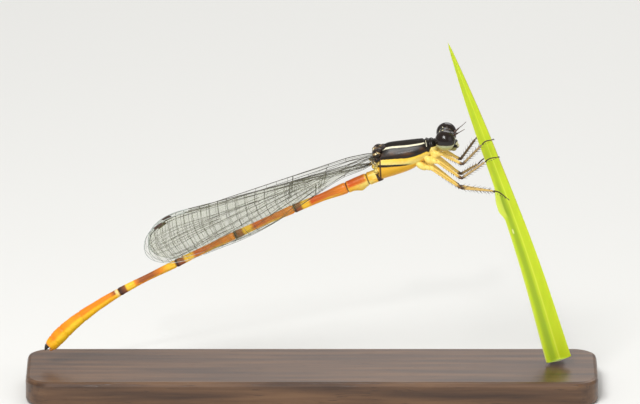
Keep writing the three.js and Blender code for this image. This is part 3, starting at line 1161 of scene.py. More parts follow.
@dataclass
class Thorax:
    """The slanted thorax with its collar, the wing joints and the coxae that the legs hang from.

    Attributes:
        top: The line of its back, as [x, z].
        bottom: The line of its underside.
        edges: Edges of the colour bands from the belly up, each as its level at the rear and at the front.
        bands: The number that each of those edges is painted with.
        coxae_lumps: Each coxa lump's centre as [x, distance from the middle, z], its radii and its tilt.
        joint_knobs: Each wing joint knob's centre and radii, as above.
        past: The way along that the collar, the neck and the coxae are painted with, past the stripes.
    """

    top: tuple[Span, ...] = ((5.2, 19.64), (5.75, 19.97), (7.1, 20.19), (8.42, 20.34))
    bottom: tuple[Span, ...] = ((5.3, 17.12), (6.6, 17.52), (7.8, 18.02), (8.98, 18.98))
    half_width: float = 1.0
    rear_width: float = 0.82
    front_width: float = 0.66
    edges: tuple[Span, ...] = (
        (0.0, 0.0), (0.47, 0.10), (0.56, 0.13), (0.70, 0.40), (0.924, 0.805), (0.966, 0.872), (1.0, 1.0),
    )
    bands: tuple[float, ...] = (0.0, 0.2, 0.26, 0.5, 0.75, 0.85, 1.0)
    yellow_band: float = 0.3
    coxa_band: float = 0.36
    cream_band: float = 0.8
    neck_band: float = 0.95
    black_band: float = 0.98
    dome_from: float = 0.1
    dome_to: float = 0.92
    rear_dome: Spot = (-0.32, 0.0, -0.02)
    front_dome: Spot = (0.17, 0.0, 0.07)
    rings: int = 84
    sides: int = 96
    collar_line: tuple[Span, Span] = ((8.5, 19.66), (9.55, 19.88))
    collar_width: float = 0.68
    collar_height: float = 0.66
    neck_line: tuple[Span, Span] = ((9.2, 19.9), (10.1, 20.42))
    neck_radii: Spot = (0.4, 0.3, 0.36)
    coxae_lumps: tuple[tuple[Spot, Spot, float], ...] = (
        ((9.36, 0.42, 19.22), (0.3, 0.27, 0.34), 20.0), ((9.68, 0.56, 19.3), (0.26, 0.18, 0.2), 10.0),
        ((8.98, 0.5, 18.78), (0.44, 0.3, 0.3), 28.0), ((9.4, 0.62, 18.72), (0.3, 0.19, 0.2), 12.0),
        ((8.4, 0.46, 18.3), (0.52, 0.31, 0.28), 28.0), ((8.9, 0.6, 18.2), (0.32, 0.2, 0.2), 14.0),
    )
    joint_knobs: tuple[tuple[Spot, Spot], ...] = (
        ((5.02, 0.56, 19.52), (0.34, 0.3, 0.2)), ((4.92, 0.72, 19.22), (0.36, 0.26, 0.2)),
        ((4.84, 0.86, 19.3), (0.26, 0.16, 0.16)), ((5.0, 0.66, 18.86), (0.28, 0.24, 0.22)),
        ((4.72, 0.54, 18.6), (0.42, 0.2, 0.17)), ((4.86, 0.5, 18.3), (0.32, 0.28, 0.24)),
        ((5.02, 0.4, 17.92), (0.3, 0.36, 0.34)), ((4.98, 0.26, 19.0), (0.34, 0.4, 0.62)),
        ((5.36, 0.24, 19.62), (0.38, 0.26, 0.2)), ((4.98, 0.2, 18.3), (0.34, 0.4, 0.62)),
    )
    joint_tilt: float = -22.0
    joint_melt: int = 14
    joint_gold: Span = (18.6, 18.2)
    past: float = 1.3
    voxel: float = 0.034

    def level(self, angle: float) -> float:
        """Height between the belly, 0, and the back, 1, at an angle that starts from the belly."""
        return 0.5 - 0.5 * math.cos(angle)

    def band(self, way: float, angle: float) -> float:
        """The place among the colour bands, 0 at the belly and 1 along the back."""
        edges = [mix(rear, front, way) for rear, front in self.edges]
        return float(np.interp(self.level(angle), edges, self.bands))

    def span(self, way: float) -> float:
        """The way along the flank at a way along the whole shell."""
        return stretch(way, self.dome_from, self.dome_to)

    def place(self, way: float, angle: float) -> Vector:
        """Places a vertex of the thorax's shell, whose two ends bulge out in a dome.

        Args:
            way: How far along the shell it is, from the rear.
            angle: Its angle round the shell, from the belly.

        Returns:
            The place in millimetres.
        """
        rear = 1.0 - stretch(way, 0.0, self.dome_from)
        front = stretch(way, self.dome_to, 1.0)
        cap = math.cos(max(rear, front) * math.pi / 2)
        span = self.span(way)
        low, high = self.low(span), self.high(span)
        flank = math.sin(math.pi * min(1.0, 0.22 + span * 0.78)) ** 0.5
        half = mix(mix(self.rear_width, self.front_width, span), self.half_width, flank)
        rise = -math.cos(angle) * cap
        taper = 1.0 - 0.34 * max(0.0, rise) ** 2 - 0.3 * max(0.0, -rise) ** 2
        across = math.sin(angle)
        bulge = math.copysign(abs(across) ** 0.8, across) * cap
        keel = 0.04 * bell(across, 0.0, 0.12) * max(0.0, rise)
        spot = low.lerp(high, 0.5 + 0.5 * rise)
        band = self.band(span, angle)
        groove = 0.05 * bell(band, 0.23, 0.05) + 0.045 * bell(band, 0.5, 0.04)
        spot += Vector(self.rear_dome) * math.sin(rear * math.pi / 2)
        spot += Vector(self.front_dome) * math.sin(front * math.pi / 2)
        return Vector((spot.x, (half * taper - groove) * bulge, spot.z + keel))

    def build(self) -> list[Object]:
        """Models the thorax, collar, coxae and wing joints, each with its finish.

        Returns:
            The skin and the wing joints.
        """
        self.low = smooth_path([level_spot(spot) for spot in self.bottom])
        self.high = smooth_path([level_spot(spot) for spot in self.top])
        marks = {"band": lambda way, angle: self.band(self.span(way), angle),
                 "way": lambda way, angle: self.span(way) - 1.0 + stretch(way, 0.0, self.dome_from)}
        shell = rolled("thorax_shell", self.sides, self.rings, self.place, marks)
        skin = fused("thorax_skin", [shell, *self.coxae(), *self.collar()], self.voxel, ("band", "way"))
        return [dressed(skin, ThoraxSkin().make()), self.joints()]

    def collar(self) -> list[Object]:
        """Models the short collar behind the head, with its raised rear lobe, and the neck.

        Returns:
            Both pieces, painted.
        """
        rear, front = [level_spot(spot) for spot in self.collar_line]
        start, end = [level_spot(spot) for spot in self.neck_line]

        def section(way: float, angle: float) -> Span:
            """Shapes two lobes one behind the other, with a waist between.

            Args:
                way: The way along the collar.
                angle: The angle round it, from the belly.

            Returns:
                The reach across and the reach upwards.
            """
            dome = math.sin(math.pi * min(max(way, 0.0), 1.0)) ** 0.35
            lobes = 1.0 - 0.14 * bell(way, 0.52, 0.1) + 0.08 * bell(way, 0.34, 0.1)
            return (self.collar_width * dome * lobes * math.sin(angle),
                    -self.collar_height * dome * lobes * math.cos(angle))

        tube = along_path(lambda way: rear.lerp(front, way), section)
        collar = rolled("collar", 40, 30, tube, {"band": self.collar_band, "way": self.collar_way})
        neck = rod("neck", start, end, self.neck_radii, 20, 10)
        brush(neck, "band", lambda spot: self.neck_band)
        brush(neck, "way", lambda spot: self.past)
        return [collar, neck]

    def collar_band(self, way: float, angle: float) -> float:
        """Paints the colour band on the collar: black above yellow, with the pale edge of its rear lobe.

        Args:
            way: How far along the collar, from the rear.
            angle: The angle round it, from the belly.

        Returns:
            The number for the layer band.
        """
        if self.collar_way(way, angle) < self.past:
            return self.cream_band
        shore = mix(0.3, 0.56, ease(stretch(way, 0.34, 0.6)))
        return mix(self.yellow_band, self.black_band, stretch(self.level(angle), shore - 0.06, shore + 0.06))

    def collar_way(self, way: float, angle: float) -> float:
        """The way along that the collar is painted with, which lets its pale edge show."""
        on_edge = 0.25 < way < 0.33 and 0.64 < self.level(angle) < 0.95
        return 0.9 if on_edge else self.past

    def coxae(self) -> list[Object]:
        """Models the pale lumps under the body that the legs start from, two to a leg.

        Returns:
            The lumps, painted.
        """
        made = []
        for side in Side:
            for (x, out, z), radii, tilt in self.coxae_lumps:
                lump = turned(ball("coxa", CENTRE, radii, 24), tilt, "Y")
                moved(lump, Vector((x, side.value * out, z)))
                brush(lump, "band", lambda spot: self.coxa_band)
                brush(lump, "way", lambda spot: self.past)
                made.append(lump)
        return made

    def joints(self) -> Object:
        """Models the small plates and knobs behind the thorax that the wings swing on.

        Returns:
            One fused and dressed mass.
        """
        made = []
        for side in Side:
            for (x, out, z), radii in self.joint_knobs:
                knob = turned(ball("wing_joint", CENTRE, radii, 20), self.joint_tilt, "Y")
                made.append(moved(knob, Vector((x, side.value * out, z))))
        mass = fused("wing_joints", made, self.voxel, melt=self.joint_melt)
        brush(mass, "gold", lambda spot: stretch(spot.z, *self.joint_gold))
        return dressed(mass, JointSkin().make())


@dataclass
class Abdomen:
    """The long abdomen of ten segments, drawn as one skin along a gently falling line.

    Attributes:
        start: Where the first segment leaves the thorax, as [x, z].
        segments: Each one's length, its pitch below level, and its height in the middle and at the rear.
        runs: Which of the finishes each segment wears.
        clasper_reach: The lengths of the upper and the lower claspers.
    """

    start: Span = (5.357, 17.549)
    segments: tuple[tuple[float, float, float, float], ...] = (
        (1.17, 22.0, 1.0, 0.98), (1.74, 23.0, 0.96, 0.88), (4.43, 23.0, 0.62, 0.66), (5.05, 25.3, 0.54, 0.6),
        (5.03, 26.8, 0.52, 0.6), (4.93, 28.0, 0.5, 0.62), (3.48, 34.2, 0.74, 0.9), (1.8, 41.0, 1.0, 1.08),
        (1.0, 47.0, 1.12, 1.08), (0.7, 50.0, 1.02, 0.88),
    )
    runs: tuple[int, ...] = (0, 1, 2, 2, 2, 3, 4, 5, 5, 6)
    rings: int = 18
    sides: int = 48
    width_share: float = 0.88
    swelling: float = 0.2
    keel: float = 0.05
    clasper_reach: Span = (0.56, 0.34)
    clasper_radii: tuple[Spot, Spot] = ((0.17, 0.15, 0.06), (0.16, 0.12, 0.05))
    spots: list[Vector] = field(default_factory=list)

    def __post_init__(self) -> None:
        """Finds the joints between the segments."""
        here = level_spot(self.start)
        self.spots = [here.copy()]
        for length, pitch, _, _ in self.segments:
            here = here + down_pitch(pitch) * length
            self.spots.append(here.copy())

    def split(self, way: float) -> tuple[int, float]:
        """Finds the segment at a way along the whole abdomen.

        Args:
            way: The way along, from 0 to 1.

        Returns:
            The segment's number from 0, and the way along that segment.
        """
        at = min(max(way, 0.0), 1.0) * len(self.segments)
        index = min(int(at + TINY), len(self.segments) - 1)
        return index, min(max(at - index, 0.0), 1.0)

    def centre(self, way: float) -> Vector:
        """Follows the centre line, rounded where one segment bends into the next.

        Args:
            way: The way along the whole abdomen.

        Returns:
            The place in millimetres.
        """
        index, t = self.split(way)
        a, b = self.spots[index], self.spots[index + 1]
        before = down_pitch(self.segments[max(index - 1, 0)][1])
        after = down_pitch(self.segments[min(index + 1, len(self.segments) - 1)][1])
        own = down_pitch(self.segments[index][1])
        length = self.segments[index][0]
        lead, tail = (before + own).normalized() * length, (own + after).normalized() * length
        h00, h10 = 2 * t**3 - 3 * t**2 + 1, t**3 - 2 * t**2 + t
        return a * h00 + lead * h10 + b * (1 - h00) + tail * (t**3 - t**2)

    def half_height(self, index: int, t: float) -> float:
        """Gives half the abdomen's height, with the fine rims and grooves at its joints.

        Args:
            index: The segment's number from 0.
            t: The way along that segment.

        Returns:
            Half the height in millimetres.
        """
        length, _, middle, rear = self.segments[index]
        fore = self.segments[index - 1][3] if index else self.segments[0][2]
        body = mix(mix(fore, middle, ease(t * 2)), rear, ease(t * 2 - 1)) / 2
        from_front, to_rear = t * length, (1.0 - t) * length
        depth = 1.0 if index < 6 else 0.35
        groove = 0.15 * bell(from_front, 0.0, 0.07) + 0.1 * bell(to_rear, 0.0, 0.05)
        rim = 0.05 * bell(to_rear, 0.14, 0.08)
        return body * (1.0 + depth * (rim - groove))

    def spaced(self, way: float) -> float:
        """Draws the rings of each segment towards its two ends."""
        index, t = self.split(way)
        return (index + cosine_ease(t)) / len(self.segments)

    def section(self, way: float, angle: float) -> Span:
        """Shapes the oval section, keeled a little below, with the swelling under the second segment.

        Args:
            way: The way along the whole abdomen.
            angle: The angle round it, from the belly.

        Returns:
            The reach across and the reach upwards.
        """
        index, t = self.split(way)
        half = self.half_height(index, t)
        low = max(0.0, math.cos(angle))
        swelling = self.swelling * bell(t, 0.4, 0.2) * low**3 if index == 1 else 0.0
        keel = self.keel * low**8
        end = min(1.0, way * 400.0, (1.0 - way) * 400.0)
        return (half * self.width_share * math.sin(angle) * end,
                -(half * math.cos(angle) * (1.0 + keel) + swelling) * end)

    def build(self) -> list[Object]:
        """Models the abdomen and claspers, and dresses each run of segments.

        Returns:
            The skin and the claspers.
        """
        tube = along_path(self.centre, self.section)
        marks = {"way": lambda way, angle: self.split(self.spaced(way))[1],
                 "level": lambda way, angle: 0.5 - 0.5 * math.cos(angle)}
        skin = rolled("abdomen_skin", self.sides, self.rings * len(self.segments),
                      lambda way, angle: tube(self.spaced(way), angle), marks)
        dressed(skin, *[finish.make() for finish in segment_finishes()])
        for face in skin.data.polygons:
            centre = sum((skin.data.vertices[v].co for v in face.vertices), Vector()) / len(face.vertices)
            face.material_index = self.runs[self.segment_of(centre)]
        return [skin, *self.claspers()]

    def segment_of(self, spot: Vector) -> int:
        """Finds the segment that a place on the skin belongs to.

        Args:
            spot: The place.

        Returns:
            The segment's number from 0.
        """
        for index, (length, pitch, _, _) in enumerate(self.segments):
            if (spot - self.spots[index]).dot(down_pitch(pitch)) < length:
                return index
        return len(self.segments) - 1

    def claspers(self) -> list[Object]:
        """Models the four claspers at the end of the tail, dark above and paler below.

        Returns:
            The claspers, dressed.
        """
        horns = Horn("clasper_horn", BLACK).make(), Horn("clasper_pale", (0.45, 0.16, 0.02)).make()
        aim = down_pitch(self.segments[-1][1])
        up = Vector((aim.z, 0.0, -aim.x))
        made = []
        for side in Side:
            for level, reach, radii, horn in zip((1, -1), self.clasper_reach, self.clasper_radii, horns):
                spots = [
                    self.spots[-1] + aim * (way * reach - 0.12) + up * (level * high * 0.15)
                    + Vector((0.0, side.value * out * 0.16, 0.0))
                    for way, out, high in ((0.0, 0.9, 1.0), (0.55, 1.2, 1.3), (1.0, 0.7, 0.8))
                ]
                made.append(dressed(horned("clasper", spots, radii), horn))
        return made


def segment_finishes() -> list[RingedSkin]:
    """Lists the colours of the abdomen's segments.

    Returns:
        The finishes in the order that Abdomen.runs counts them.
    """
    ring, deep = UMBER, (0.66, 0.10, 0.006)
    band, warm = (0.93, 0.55, 0.03), (0.78, 0.24, 0.012)
    brown, dusk = (0.24, 0.07, 0.02), (0.32, 0.09, 0.02)
    bright, amber = (0.92, 0.25, 0.006), (0.94, 0.46, 0.012)
    # sand is the seventh segment's cream wedge; sun is the real gold of the belly towards the tail,
    # brightened as painted light falling from the front.
    sand, sunlit_gold = (0.92, 0.66, 0.26), (0.98, 0.55, 0.012)
    tail_turn = (0.5, 0.76)
    rings = ((0.72, band), (0.83, band), (0.86, dusk), (0.94, brown), (0.965, ring))
    dusky = ((0.73, band), (0.85, band), (0.88, brown), (0.96, ring))
    return [
        RingedSkin(
            "segment_root",
            ((0.0, ring), (0.36, ring), (0.4, LEMON), (0.8, GOLD), (0.94, GOLD), (0.97, ring)),
            ((0.0, ring), (0.36, ring), (0.4, GOLD), (0.94, LEMON), (0.97, ring)),
        ),
        RingedSkin(
            "segment_second",
            ((0.0, ring), (0.04, GOLD), (0.14, ORANGE), (0.85, deep), (0.94, warm), (0.97, ring)),
            ((0.0, ring), (0.04, LEMON), (0.8, GOLD), (0.95, GOLD), (0.97, ring)),
            (0.38, 0.6),
        ),
        RingedSkin(
            "segment_ringed",
            ((0.0, ring), (0.01, warm), (0.3, ORANGE), (0.66, deep), *rings),
            ((0.0, ring), (0.01, warm), (0.35, GOLD), (0.66, warm), *rings),
            (0.26, 0.44),
        ),
        RingedSkin(
            "segment_dusky",
            ((0.0, ring), (0.01, band), (0.12, band), (0.26, warm), (0.4, dusk), (0.62, dusk),
             (0.7, warm), *dusky),
            ((0.0, ring), (0.01, band), (0.2, GOLD), (0.6, warm), *dusky),
            (0.22, 0.4),
        ),
        RingedSkin(
            "segment_seventh",
            ((0.0, ring), (0.01, sand), (0.05, sand), (0.09, RUST), (0.2, warm), (0.5, bright),
             (1.0, bright)),
            ((0.0, ring), (0.01, sand), (0.09, sunlit_gold), (0.16, amber), (0.8, sunlit_gold), (1.0, sunlit_gold)),
            (0.46, 0.7),
        ),
        RingedSkin(
            "segment_tail",
            ((0.0, bright), (0.06, bright), (0.5, (0.94, 0.33, 0.01)), (1.0, bright)),
            ((0.0, sunlit_gold), (0.5, (0.98, 0.60, 0.02)), (1.0, sunlit_gold)),
            tail_turn,
        ),
        RingedSkin(
            "segment_last",
            ((0.0, bright), (0.6, amber), (1.0, warm)),
            ((0.0, sunlit_gold), (0.9, amber), (1.0, warm)),
            tail_turn,
        ),
    ]


@dataclass
class Head:
    """The wide head: a capsule with its face and mouthparts, two round eyes and two feelers.

    Attributes:
        centre: The middle of the head.
        yaw: Its turn towards the camera, in degrees.
        lumps: The lumps that its capsule is fused from, each as its centre and its radii.
        patches: The pale patches, each as its centre, seen from the left, and its reach.
        olive: The levels between which the underside turns from black to the mouthparts' yellow, dulled as
            painted shade.
        eye_spread: How far each eye's centre stands from the middle.
        eye_depth: The eye's depth from side to side, for its height.
    """

    centre: Spot = (10.23, 0.0, 20.52)
    yaw: float = -3.5
    lumps: tuple[tuple[Spot, Spot], ...] = (
        ((-0.06, 0.0, 0.06), (0.54, 0.96, 0.62)), ((0.1, 0.0, -0.42), (0.56, 0.74, 0.52)),
        ((0.42, 0.0, -0.02), (0.38, 0.56, 0.40)), ((0.62, 0.0, -0.45), (0.32, 0.50, 0.24)),
        ((0.78, 0.0, -0.72), (0.26, 0.40, 0.20)), ((0.62, 0.3, -0.86), (0.24, 0.16, 0.20)),
        ((0.62, -0.3, -0.86), (0.24, 0.16, 0.20)), ((0.36, 0.0, -0.9), (0.42, 0.42, 0.20)),
        ((-0.3, 0.6, 0.1), (0.26, 0.34, 0.5)), ((-0.3, -0.6, 0.1), (0.26, 0.34, 0.5)),
    )
    patches: tuple[tuple[Spot, Spot], ...] = (
        ((0.72, 0.3, -0.12), (0.3, 0.18, 0.13)), ((0.86, 0.16, -0.46), (0.2, 0.3, 0.12)),
        ((0.98, 0.0, -0.66), (0.2, 0.34, 0.09)), ((-0.24, 0.42, 0.6), (0.1, 0.14, 0.06)),
        ((-0.46, 0.2, 0.42), (0.08, 0.26, 0.045)),
    )
    olive: Span = (0.42, 0.82)
    eye_radius: float = 0.78
    eye_spread: float = 1.0
    eye_depth: float = 0.97
    ocelli_spots: tuple[Spot, ...] = ((0.28, 0.0, 0.56), (0.08, 0.24, 0.64), (0.08, -0.24, 0.64))
    ocellus_radii: Spot = (0.085, 0.085, 0.07)
    feeler_root: Spot = (0.6, 0.4, 0.2)
    feeler_aim: Spot = (0.72, 0.42, 0.56)
    voxel: float = 0.028

    def capsule(self) -> Object:
        """Models the capsule as one fused skin and paints its pale patches and its dull yellow underside,
        darkened as painted shade.

        Returns:
            The capsule, dressed.
        """
        lumps = [ball("head_lump", Vector(at), radii, 32) for at, radii in self.lumps]
        capsule = fused("head", lumps, self.voxel)
        brush(capsule, "pale", self.pale)
        # The underside, lower down and further back, turns to yellow darkened as painted shade.
        brush(capsule, "olive", lambda spot: stretch(-spot.z - 0.2 * spot.x, *self.olive))
        return dressed(capsule, HeadSkin().make())

    def pale(self, spot: Vector) -> float:
        """Tells how pale the head's skin is.

        Args:
            spot: A place measured from the head's centre.

        Returns:
            1 at the middle of a patch, a half at its edge, and less beyond.
        """
        best = 0.0
        for centre, reach in self.patches:
            gap = Vector((spot.x, abs(spot.y), spot.z)) - Vector(centre)
            share = Vector((gap.x / reach[0], gap.y / reach[1], gap.z / reach[2]))
            best = max(best, 1.0 - 0.5 * share.length)
        return best

    def ocelli(self) -> list[Object]:
        """Models the three small simple eyes on top of the head.

        Returns:
            The three beads, dressed.
        """
        glass = Horn("ocellus_glass", (0.06, 0.035, 0.02), 0.1).make()
        beads = [ball("ocellus", Vector(spot), self.ocellus_radii, 16) for spot in self.ocelli_spots]
        return [dressed(bead, glass) for bead in beads]

    def feelers(self) -> None:
        """Models the two feelers: two thick joints and a thin lash each."""
        horn = Horn("feeler_horn", UMBER).make()
        for side in Side:
            mirror = Vector((1.0, side.value, 1.0))
            root = Vector(self.feeler_root) * mirror
            aim = (Vector(self.feeler_aim) * mirror).normalized()
            scape = rod("feeler", root, root + aim * 0.3, (0.1, 0.08), 12, 8)
            second = rod("feeler", root + aim * 0.26, root + aim * 0.56, (0.062, 0.05), 12, 8)
            bend = root + aim * 0.92 + Vector((0.05, 0.0, 0.03))
            line = [root + aim * 0.52, bend, root + aim * 1.3]
            lash = horned("feeler", line, (0.036, 0.026, 0.012), 8, 14)
            parts = [dressed(piece, horn) for piece in (scape, second, lash)]
            feeler = join(f"feeler_{side.word}", parts)
            placed(self.aimed(feeler), "dark_shell", f"antenna_{side.word}")

    def eyes(self) -> None:
        """Models the two eyes, a little flattened outwards."""
        gloss = EyeGloss().make()
        radius = self.eye_radius
        for side in Side:
            eye = ball(f"eyeball_{side.word}", CENTRE, (radius, radius * self.eye_depth, radius), 56)
            brush(eye, "height", lambda spot: 0.5 + 0.5 * spot.z / radius)
            moved(eye, Vector((0.0, side.value * self.eye_spread, 0.0)))
            placed(self.aimed(dressed(eye, gloss)), "eye", f"eye_{side.word}")

    def aimed(self, thing: Object) -> Object:
        """Turns a piece with the head and moves it to the head's place."""
        return moved(turned(thing, self.yaw, "Z"), Vector(self.centre))

    def build(self) -> list[Object]:
        """Models the head and places its eyes and feelers.

        Returns:
            The pieces of its skin.
        """
        self.eyes()
        self.feelers()
        pieces = [self.capsule(), *self.ocelli()]
        return [self.aimed(piece) for piece in pieces]


@dataclass(frozen=True)
class BristleRow:
    """Two rows of bristles along one length of leg.

    Attributes:
        count: Bristles in each row.
        length: The longest bristle.
        radius: The radius of the length of leg that they grow from.
        upper: Whether they stand on its upper side.
    """

    count: int
    length: float
    radius: float
    upper: bool = False


@dataclass
class Leg:
    """One leg from its hip to its claws, with its rows of bristles.

    Attributes:
        name: The pair that it belongs to.
        joints: Hip, knee, ankle and claws, each as [x, distance from the middle, z].
        dusk: How dark the shin is past its knee.
        root_reach: How far the thigh reaches into the coxa.
        claw_reach: How far the claws reach past the foot, and how far they part.
    """

    name: str
    side: Side
    joints: tuple[Spot, ...]
    dusk: float
    thigh: float = 0.142
    shin: float = 0.092
    foot: float = 0.055
    hair: float = 0.021
    root_reach: float = 0.34
    arch_at: float = 0.36
    arch_rise: float = 0.13
    claw_reach: Span = (0.16, 0.1)

    def build(self, skin: Material, horn: Material) -> None:
        """Models the leg and places it.

        Args:
            skin: The leg's skin.
            horn: The bristles' and claws' horn.
        """
        hip, knee, ankle, claw = [Vector((x, self.side.value * out, z)) for x, out, z in self.joints]
        root = hip + (hip - knee).normalized() * self.root_reach
        arch = ankle.lerp(claw, self.arch_at) + Vector((0.0, 0.0, self.arch_rise))
        lengths = self.lengths(hip, root, knee, ankle)
        foot = horned("foot", [ankle, arch, claw], (self.foot, self.foot * 0.9, self.foot * 0.7), 10, 20)
        brush(foot, "dusk", lambda spot: 0.86)
        pieces = [dressed(piece, skin) for piece in (*lengths, foot)]
        stretches = (
            (root.lerp(knee, 0.25), knee, BristleRow(7, 0.34, self.thigh)),
            (knee, ankle, BristleRow(8, 0.46, self.shin)),
            (knee, ankle, BristleRow(6, 0.38, self.shin, upper=True)),
            (ankle, claw, BristleRow(5, 0.16, self.foot)),
        )
        hairs = [hair for start, end, row in stretches for hair in self.hairs(start, end, row)]
        bristles = spikes("bristles", hairs, self.hair)
        pieces += [dressed(piece, horn) for piece in (bristles, *self.claws(arch, claw))]
        leg = join(f"leg_{self.name}_{self.side.word}", pieces)
        nodes = [f"{self.name}_{self.side.word}_{part}" for part in ("femur", "tibia", "tarsus")]
        placed(leg, "leg", *nodes)

    def lengths(self, hip: Vector, root: Vector, knee: Vector, ankle: Vector) -> list[Object]:
        """Models the thigh, the small hinge at its root and the shin.

        Args:
            hip: Where the leg leaves the coxa.
            root: The thigh's hidden end.
            knee: The knee.
            ankle: The ankle.

        Returns:
            The three pieces, painted.
        """
        thigh = rod("thigh", root, knee, (self.thigh, self.thigh * 1.1, self.thigh, 0.11, 0.13), 14, 22)
        self.shade(thigh, root, knee, (0.8, 0.98), (0.12, 0.85), 0.75)
        hinge = rod("hinge", hip - (knee - hip) * 0.12, hip + (knee - hip) * 0.08, (0.15, 0.19), 12, 8)
        self.shade(hinge, hip, knee, (0.5, 2.0), (0.15, 0.2), 0.1)
        upper = knee + (knee - ankle).normalized() * 0.06
        shin = rod("shin", upper, ankle, (0.11, self.shin, self.shin, 0.075), 12, 20)
        self.shade(shin, knee, ankle, (0.0, 0.16), (0.85, self.dusk), 0.1)
        return [thigh, hinge, shin]

    def claws(self, arch: Vector, claw: Vector) -> list[Object]:
        """Models the two claws at the foot's end.

        Args:
            arch: The top of the foot's arch.
            claw: The foot's end.

        Returns:
            Both claws.
        """
        aim = (claw - arch).normalized()
        across = aim.cross(Vector((0.0, 0.0, 1.0))).normalized()
        reach, part = self.claw_reach
        made = []
        for way in (1, -1):
            tip = claw + aim * reach + across * (way * part)
            inward = tip + Vector((0.0, -self.side.value * 0.1, -0.05))
            made.append(horned("claw", [claw - aim * 0.03, tip, inward], (0.03, 0.026, 0.008), 6, 8))
        return made

    @staticmethod
    def shade(thing: Object, start: Vector, end: Vector, ways: Span, dusks: Span,
              line: float) -> None:
        """Paints how far a length of leg has darkened, and its dark line.

        Args:
            thing: The piece.
            start: Its near end.
            end: Its far end.
            ways: Where along it the darkening changes, from and to.
            dusks: How dark it is before and after that.
            line: How strong the dark line along its outer face is.
        """
        aim = end - start
        outer = Vector((0.0, math.copysign(1.0, start.y), 0.35)).normalized()

        def dusk(spot: Vector) -> float:
            """The darkening at a place."""
            way = (spot - start).dot(aim) / aim.length_squared
            return mix(*dusks, ease(stretch(way, *ways)))

        def streak(spot: Vector) -> float:
            """Finds how dark the line is.

            Args:
                spot: The place.

            Returns:
                The darkness, from 0 to 1.
            """
            way = (spot - start).dot(aim) / aim.length_squared
            off = spot - start - aim * way
            near = off.normalized().dot(outer) if off.length > TINY else 0.0
            return stretch(near, 0.75, 1.0) * line

        brush(thing, "dusk", dusk)
        brush(thing, "line", streak)

    def hairs(self, start: Vector, end: Vector, row: BristleRow) -> list[tuple[Vector, Vector]]:
        """Finds the feet and tips of bristles that lean towards the foot.

        Args:
            start: Where the rows begin.
            end: Where they end.
            row: The bristles' number and sizes.

        Returns:
            Each bristle's foot and tip.
        """
        draw = random.Random(f"{self.name}{self.side.word}{row.count}")
        down = Vector((0.0, self.side.value * 0.25, -1.0)) * (-1.0 if row.upper else 1.0)
        aim = (end - start).normalized()
        lower = (down - aim * down.dot(aim)).normalized()
        flank = aim.cross(lower)
        made = []
        for face in (1, -1):
            for step in range(row.count):
                way = (step + 0.7 + draw.uniform(-0.15, 0.15)) / (row.count + 0.6)
                out = (lower * 0.75 + flank * face * 0.66).normalized()
                foot = start.lerp(end, way) + out * row.radius * 0.8
                reach = row.length * (0.75 + 0.25 * math.sin(way * math.pi)) * draw.uniform(0.85, 1.1)
                made.append((foot, foot + (out * 0.8 + aim * 0.75).normalized() * reach))
        return made


@dataclass(frozen=True)
class VeinSizes:
    """Half thicknesses of a wing's veins, each at its root end and at its far end."""

    leading: Span = (0.034, 0.024)
    trailing: Span = (0.016, 0.014)
    radius: Span = (0.026, 0.013)
    shore: Span = (0.014, 0.012)
    stem: Span = (0.022, 0.016)
    long: Span = (0.012, 0.009)
    short: Span = (0.015, 0.015)
    nodus: Span = (0.036, 0.016)
    slant: Span = (0.024, 0.018)
    cross: Span = (0.0105, 0.0105)
    # The edges round the tip, drawn in pale horn as a painted highlight.
    rim_above: Span = (0.03, 0.036)
    rim_below: Span = (0.014, 0.026)
    rim_tip: Span = (0.036, 0.026)


@dataclass
class VeinNet:
    """A mesh of thin four-sided bars under construction."""

    corners: list[Vector] = field(default_factory=list)
    faces: list[tuple[int, ...]] = field(default_factory=list)

    def strand(self, spots: Sequence[Vector], radii: Span) -> None:
        """Adds one vein.

        Args:
            spots: The places that it runs through.
            radii: Its half thickness at the first place and at the last.
        """
        first = len(self.corners)
        for k, spot in enumerate(spots):
            ahead = (spots[min(k + 1, len(spots) - 1)] - spots[max(k - 1, 0)]).normalized()
            out = Vector((0.0, 1.0, 0.0))
            out = (out - ahead * out.dot(ahead)).normalized()
            flank = ahead.cross(out)
            radius = mix(*radii, k / max(len(spots) - 1, 1))
            thick, wide = out * radius, flank * radius
            self.corners += [spot + thick, spot + wide, spot - thick, spot - wide]
        for k in range(len(spots) - 1):
            low, high = first + 4 * k, first + 4 * k + 4
            self.faces += [(low + j, low + (j + 1) % 4, high + (j + 1) % 4, high + j) for j in range(4)]
        last = len(self.corners) - 4
        self.faces += [(first + 3, first + 2, first + 1, first), (last, last + 1, last + 2, last + 3)]


